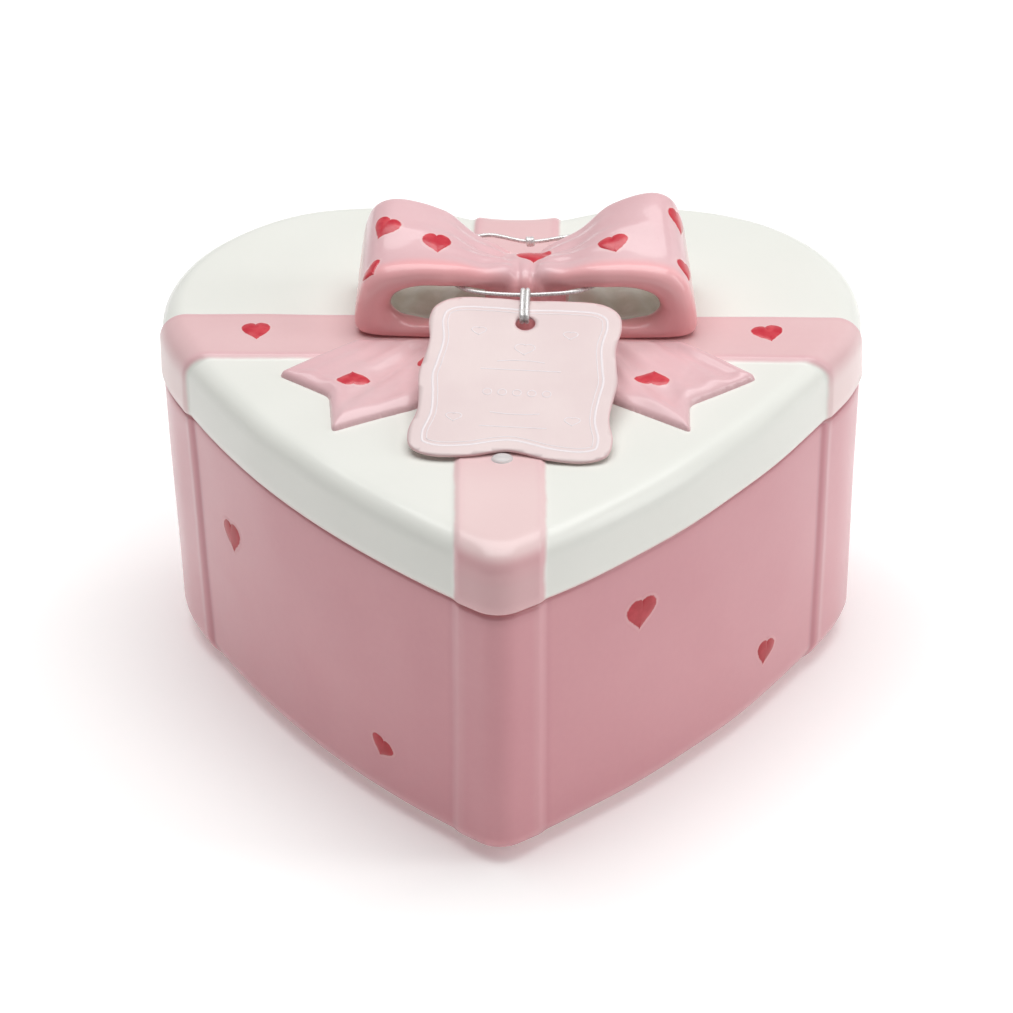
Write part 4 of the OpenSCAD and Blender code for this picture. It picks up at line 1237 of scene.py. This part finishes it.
def stop_spring_piece(wire):
    """Spring of the stop rod, with closed end coils; it stretches between its seat and the cap."""
    low, high = node_box("stop_spring")
    bottom, top = low[2] + SPRING_WIRE_R, high[2] - SPRING_WIRE_R
    turn = np.linspace(0, SPRING_TURNS[-1], 300)
    z = np.interp(turn, SPRING_TURNS, [bottom, bottom + 0.6, top - 0.6, top])
    path = np.c_[ROD + SPRING_R * np.c_[np.cos(ROUND * turn), np.sin(ROUND * turn)], z]
    points, faces = wound_tube(path, (0, 0, 1), SPRING_WIRE_R, closed=False, ridge=0)
    caps = [list(range(CORD_SIDES)), list(range(len(points) - CORD_SIDES, len(points)))]
    piece = make_mesh("stop_spring_wire", points, [*faces.tolist(), *caps], merge=False)
    piece.data.materials.append(wire)
    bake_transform(piece)
    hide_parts("stop_spring")


# A metal has two tones, a roughness, the stretch of its grain, and its tarnish.
METALS = {
    "bright_steel": [srgb(168, 170, 172), srgb(214, 215, 216), 0.2],
    "blued_steel": [srgb(66, 78, 108), srgb(104, 118, 150), 0.22],
    "hard_steel": [srgb(128, 130, 134), srgb(176, 178, 182), 0.26],
    "nickel_key": [srgb(190, 188, 182), srgb(226, 224, 218), 0.14, (1, 0.1, 1)],
    "cast_frame": [srgb(150, 128, 92), srgb(186, 162, 118), 0.42, (1, 1, 1), srgb(120, 104, 80)],
    "turned_brass": [srgb(196, 152, 78), srgb(226, 188, 112), 0.18, (1, 1, 0.08), srgb(160, 116, 60)]}
PLASTICS = {
    "white_plastic": [srgb(226, 224, 220), srgb(238, 237, 234), 0.34],
    "fan_plastic": [srgb(206, 208, 206), srgb(222, 223, 221), 0.3]}


def coat_nodes():
    """Gives every CAD node that still shows a finish of its own."""
    finishes = {slot: metal(slot, *look) for slot, look in METALS.items()}
    finishes.update({slot: plastic(slot, *look) for slot, look in PLASTICS.items()})
    finishes["clear_silicone"] = clear_material("clear_silicone")
    stop_spring_piece(finishes["blued_steel"])
    slots = {part["node"]: part["material_slot"] for part in frame["record"]["subparts"]}
    for name, piece in frame["nodes"].items():
        finish = finishes.get(slots[name])
        if finish and not piece.hide_render:
            piece.data.materials.clear()
            piece.data.materials.append(finish)


# ---- stage ----

FLOOR_REACH = 3000
FLOOR_BACK = 2200
FLOOR_RISE = 1600

# The lights and the camera are placed in metres. A softbox has a place, a size and a power.
LIGHT_AIM = (0, 0, 0.05)
SOFTBOXES = {
    "top": [(0.0, 0.15, 1.3), (1.5, 1.2), 18.0],
    "left": [(-1.1, -0.1, 0.55), (0.35, 0.9), 0.1],
    "right": [(1.15, -0.1, 0.6), (0.35, 0.9), 3.3],
    "rim_left": [(-0.95, 0.75, 0.45), (0.5, 0.8), 0.6],
    "rim_right": [(0.95, 0.75, 0.45), (0.5, 0.8), 1.0]}
WORLD_LIGHT = 0.11
LENS = 219.8
CAMERA_PLACE = (0.05483, -1.11653, 0.74399)
CAMERA_RIGHT = (0.99910, 0.03929, -0.01614)
CAMERA_BACK = (0.04186, -0.84628, 0.53109)


def floor():
    """Pale floor that curves up far behind the object."""
    back = [(y, 0.0) for y in np.linspace(-FLOOR_REACH, FLOOR_BACK, 12)]
    back += [(FLOOR_BACK + FLOOR_RISE * math.sin(a), FLOOR_RISE * (1 - math.cos(a)))
             for a in np.linspace(0, math.pi / 2, 16)[1:]]
    points = [(x, y, z) for y, z in back for x in (-FLOOR_REACH, FLOOR_REACH)]
    piece = make_mesh("floor", points, grid_faces(len(back), 2, wrap_cols=False))
    s = Shader("floor_paper")
    s.surface(Base_Color=s.mix(s.noise(3), *PAPER), Roughness=0.9)
    piece.data.materials.append(s.surface(Emission_Color=(1, 1, 1, 1), Emission_Strength=0.2))


def lights():
    for name, (place, size, power) in SOFTBOXES.items():
        light = bpy.data.lights.new(name, "AREA")
        light.shape = "RECTANGLE"
        light.size, light.size_y = size
        light.energy = power
        lamp = placed(name, light)
        lamp.location = place
        lamp.rotation_euler = (Vector(LIGHT_AIM) - Vector(place)).to_track_quat("-Z", "Y").to_euler()
    world = bpy.data.worlds.new("studio")
    world.use_nodes = True
    background = world.node_tree.nodes["Background"]
    background.inputs["Color"].default_value = (1, 1, 1, 1)
    background.inputs["Strength"].default_value = WORLD_LIGHT
    bpy.context.scene.world = world
    bpy.context.scene.view_settings.view_transform = "Standard"


def camera():
    """Camera at the photograph's angle, distance and field of view."""
    data = bpy.data.cameras.new("camera")
    data.sensor_width = 36
    data.lens = LENS
    data.clip_end = 20
    cam = placed("camera", data)
    right, back = Vector(CAMERA_RIGHT), Vector(CAMERA_BACK)
    turn = Matrix((right, back.cross(right), back)).transposed().to_4x4()
    cam.matrix_world = Matrix.Translation(Vector(CAMERA_PLACE)) @ turn
    bpy.context.scene.camera = cam


# ---- build ----

camera()
lights()
floor()
base = base_piece()
lid = lid_piece()
bow = bow_piece()
tails = tails_piece()
base_hearts(base)
lid_hearts(lid)
bow_hearts(bow)
tail_hearts(tails)
tag_piece()
foil_piece()
glue_dot(lid)
elastic_piece()
hitch_piece()
coat_nodes()
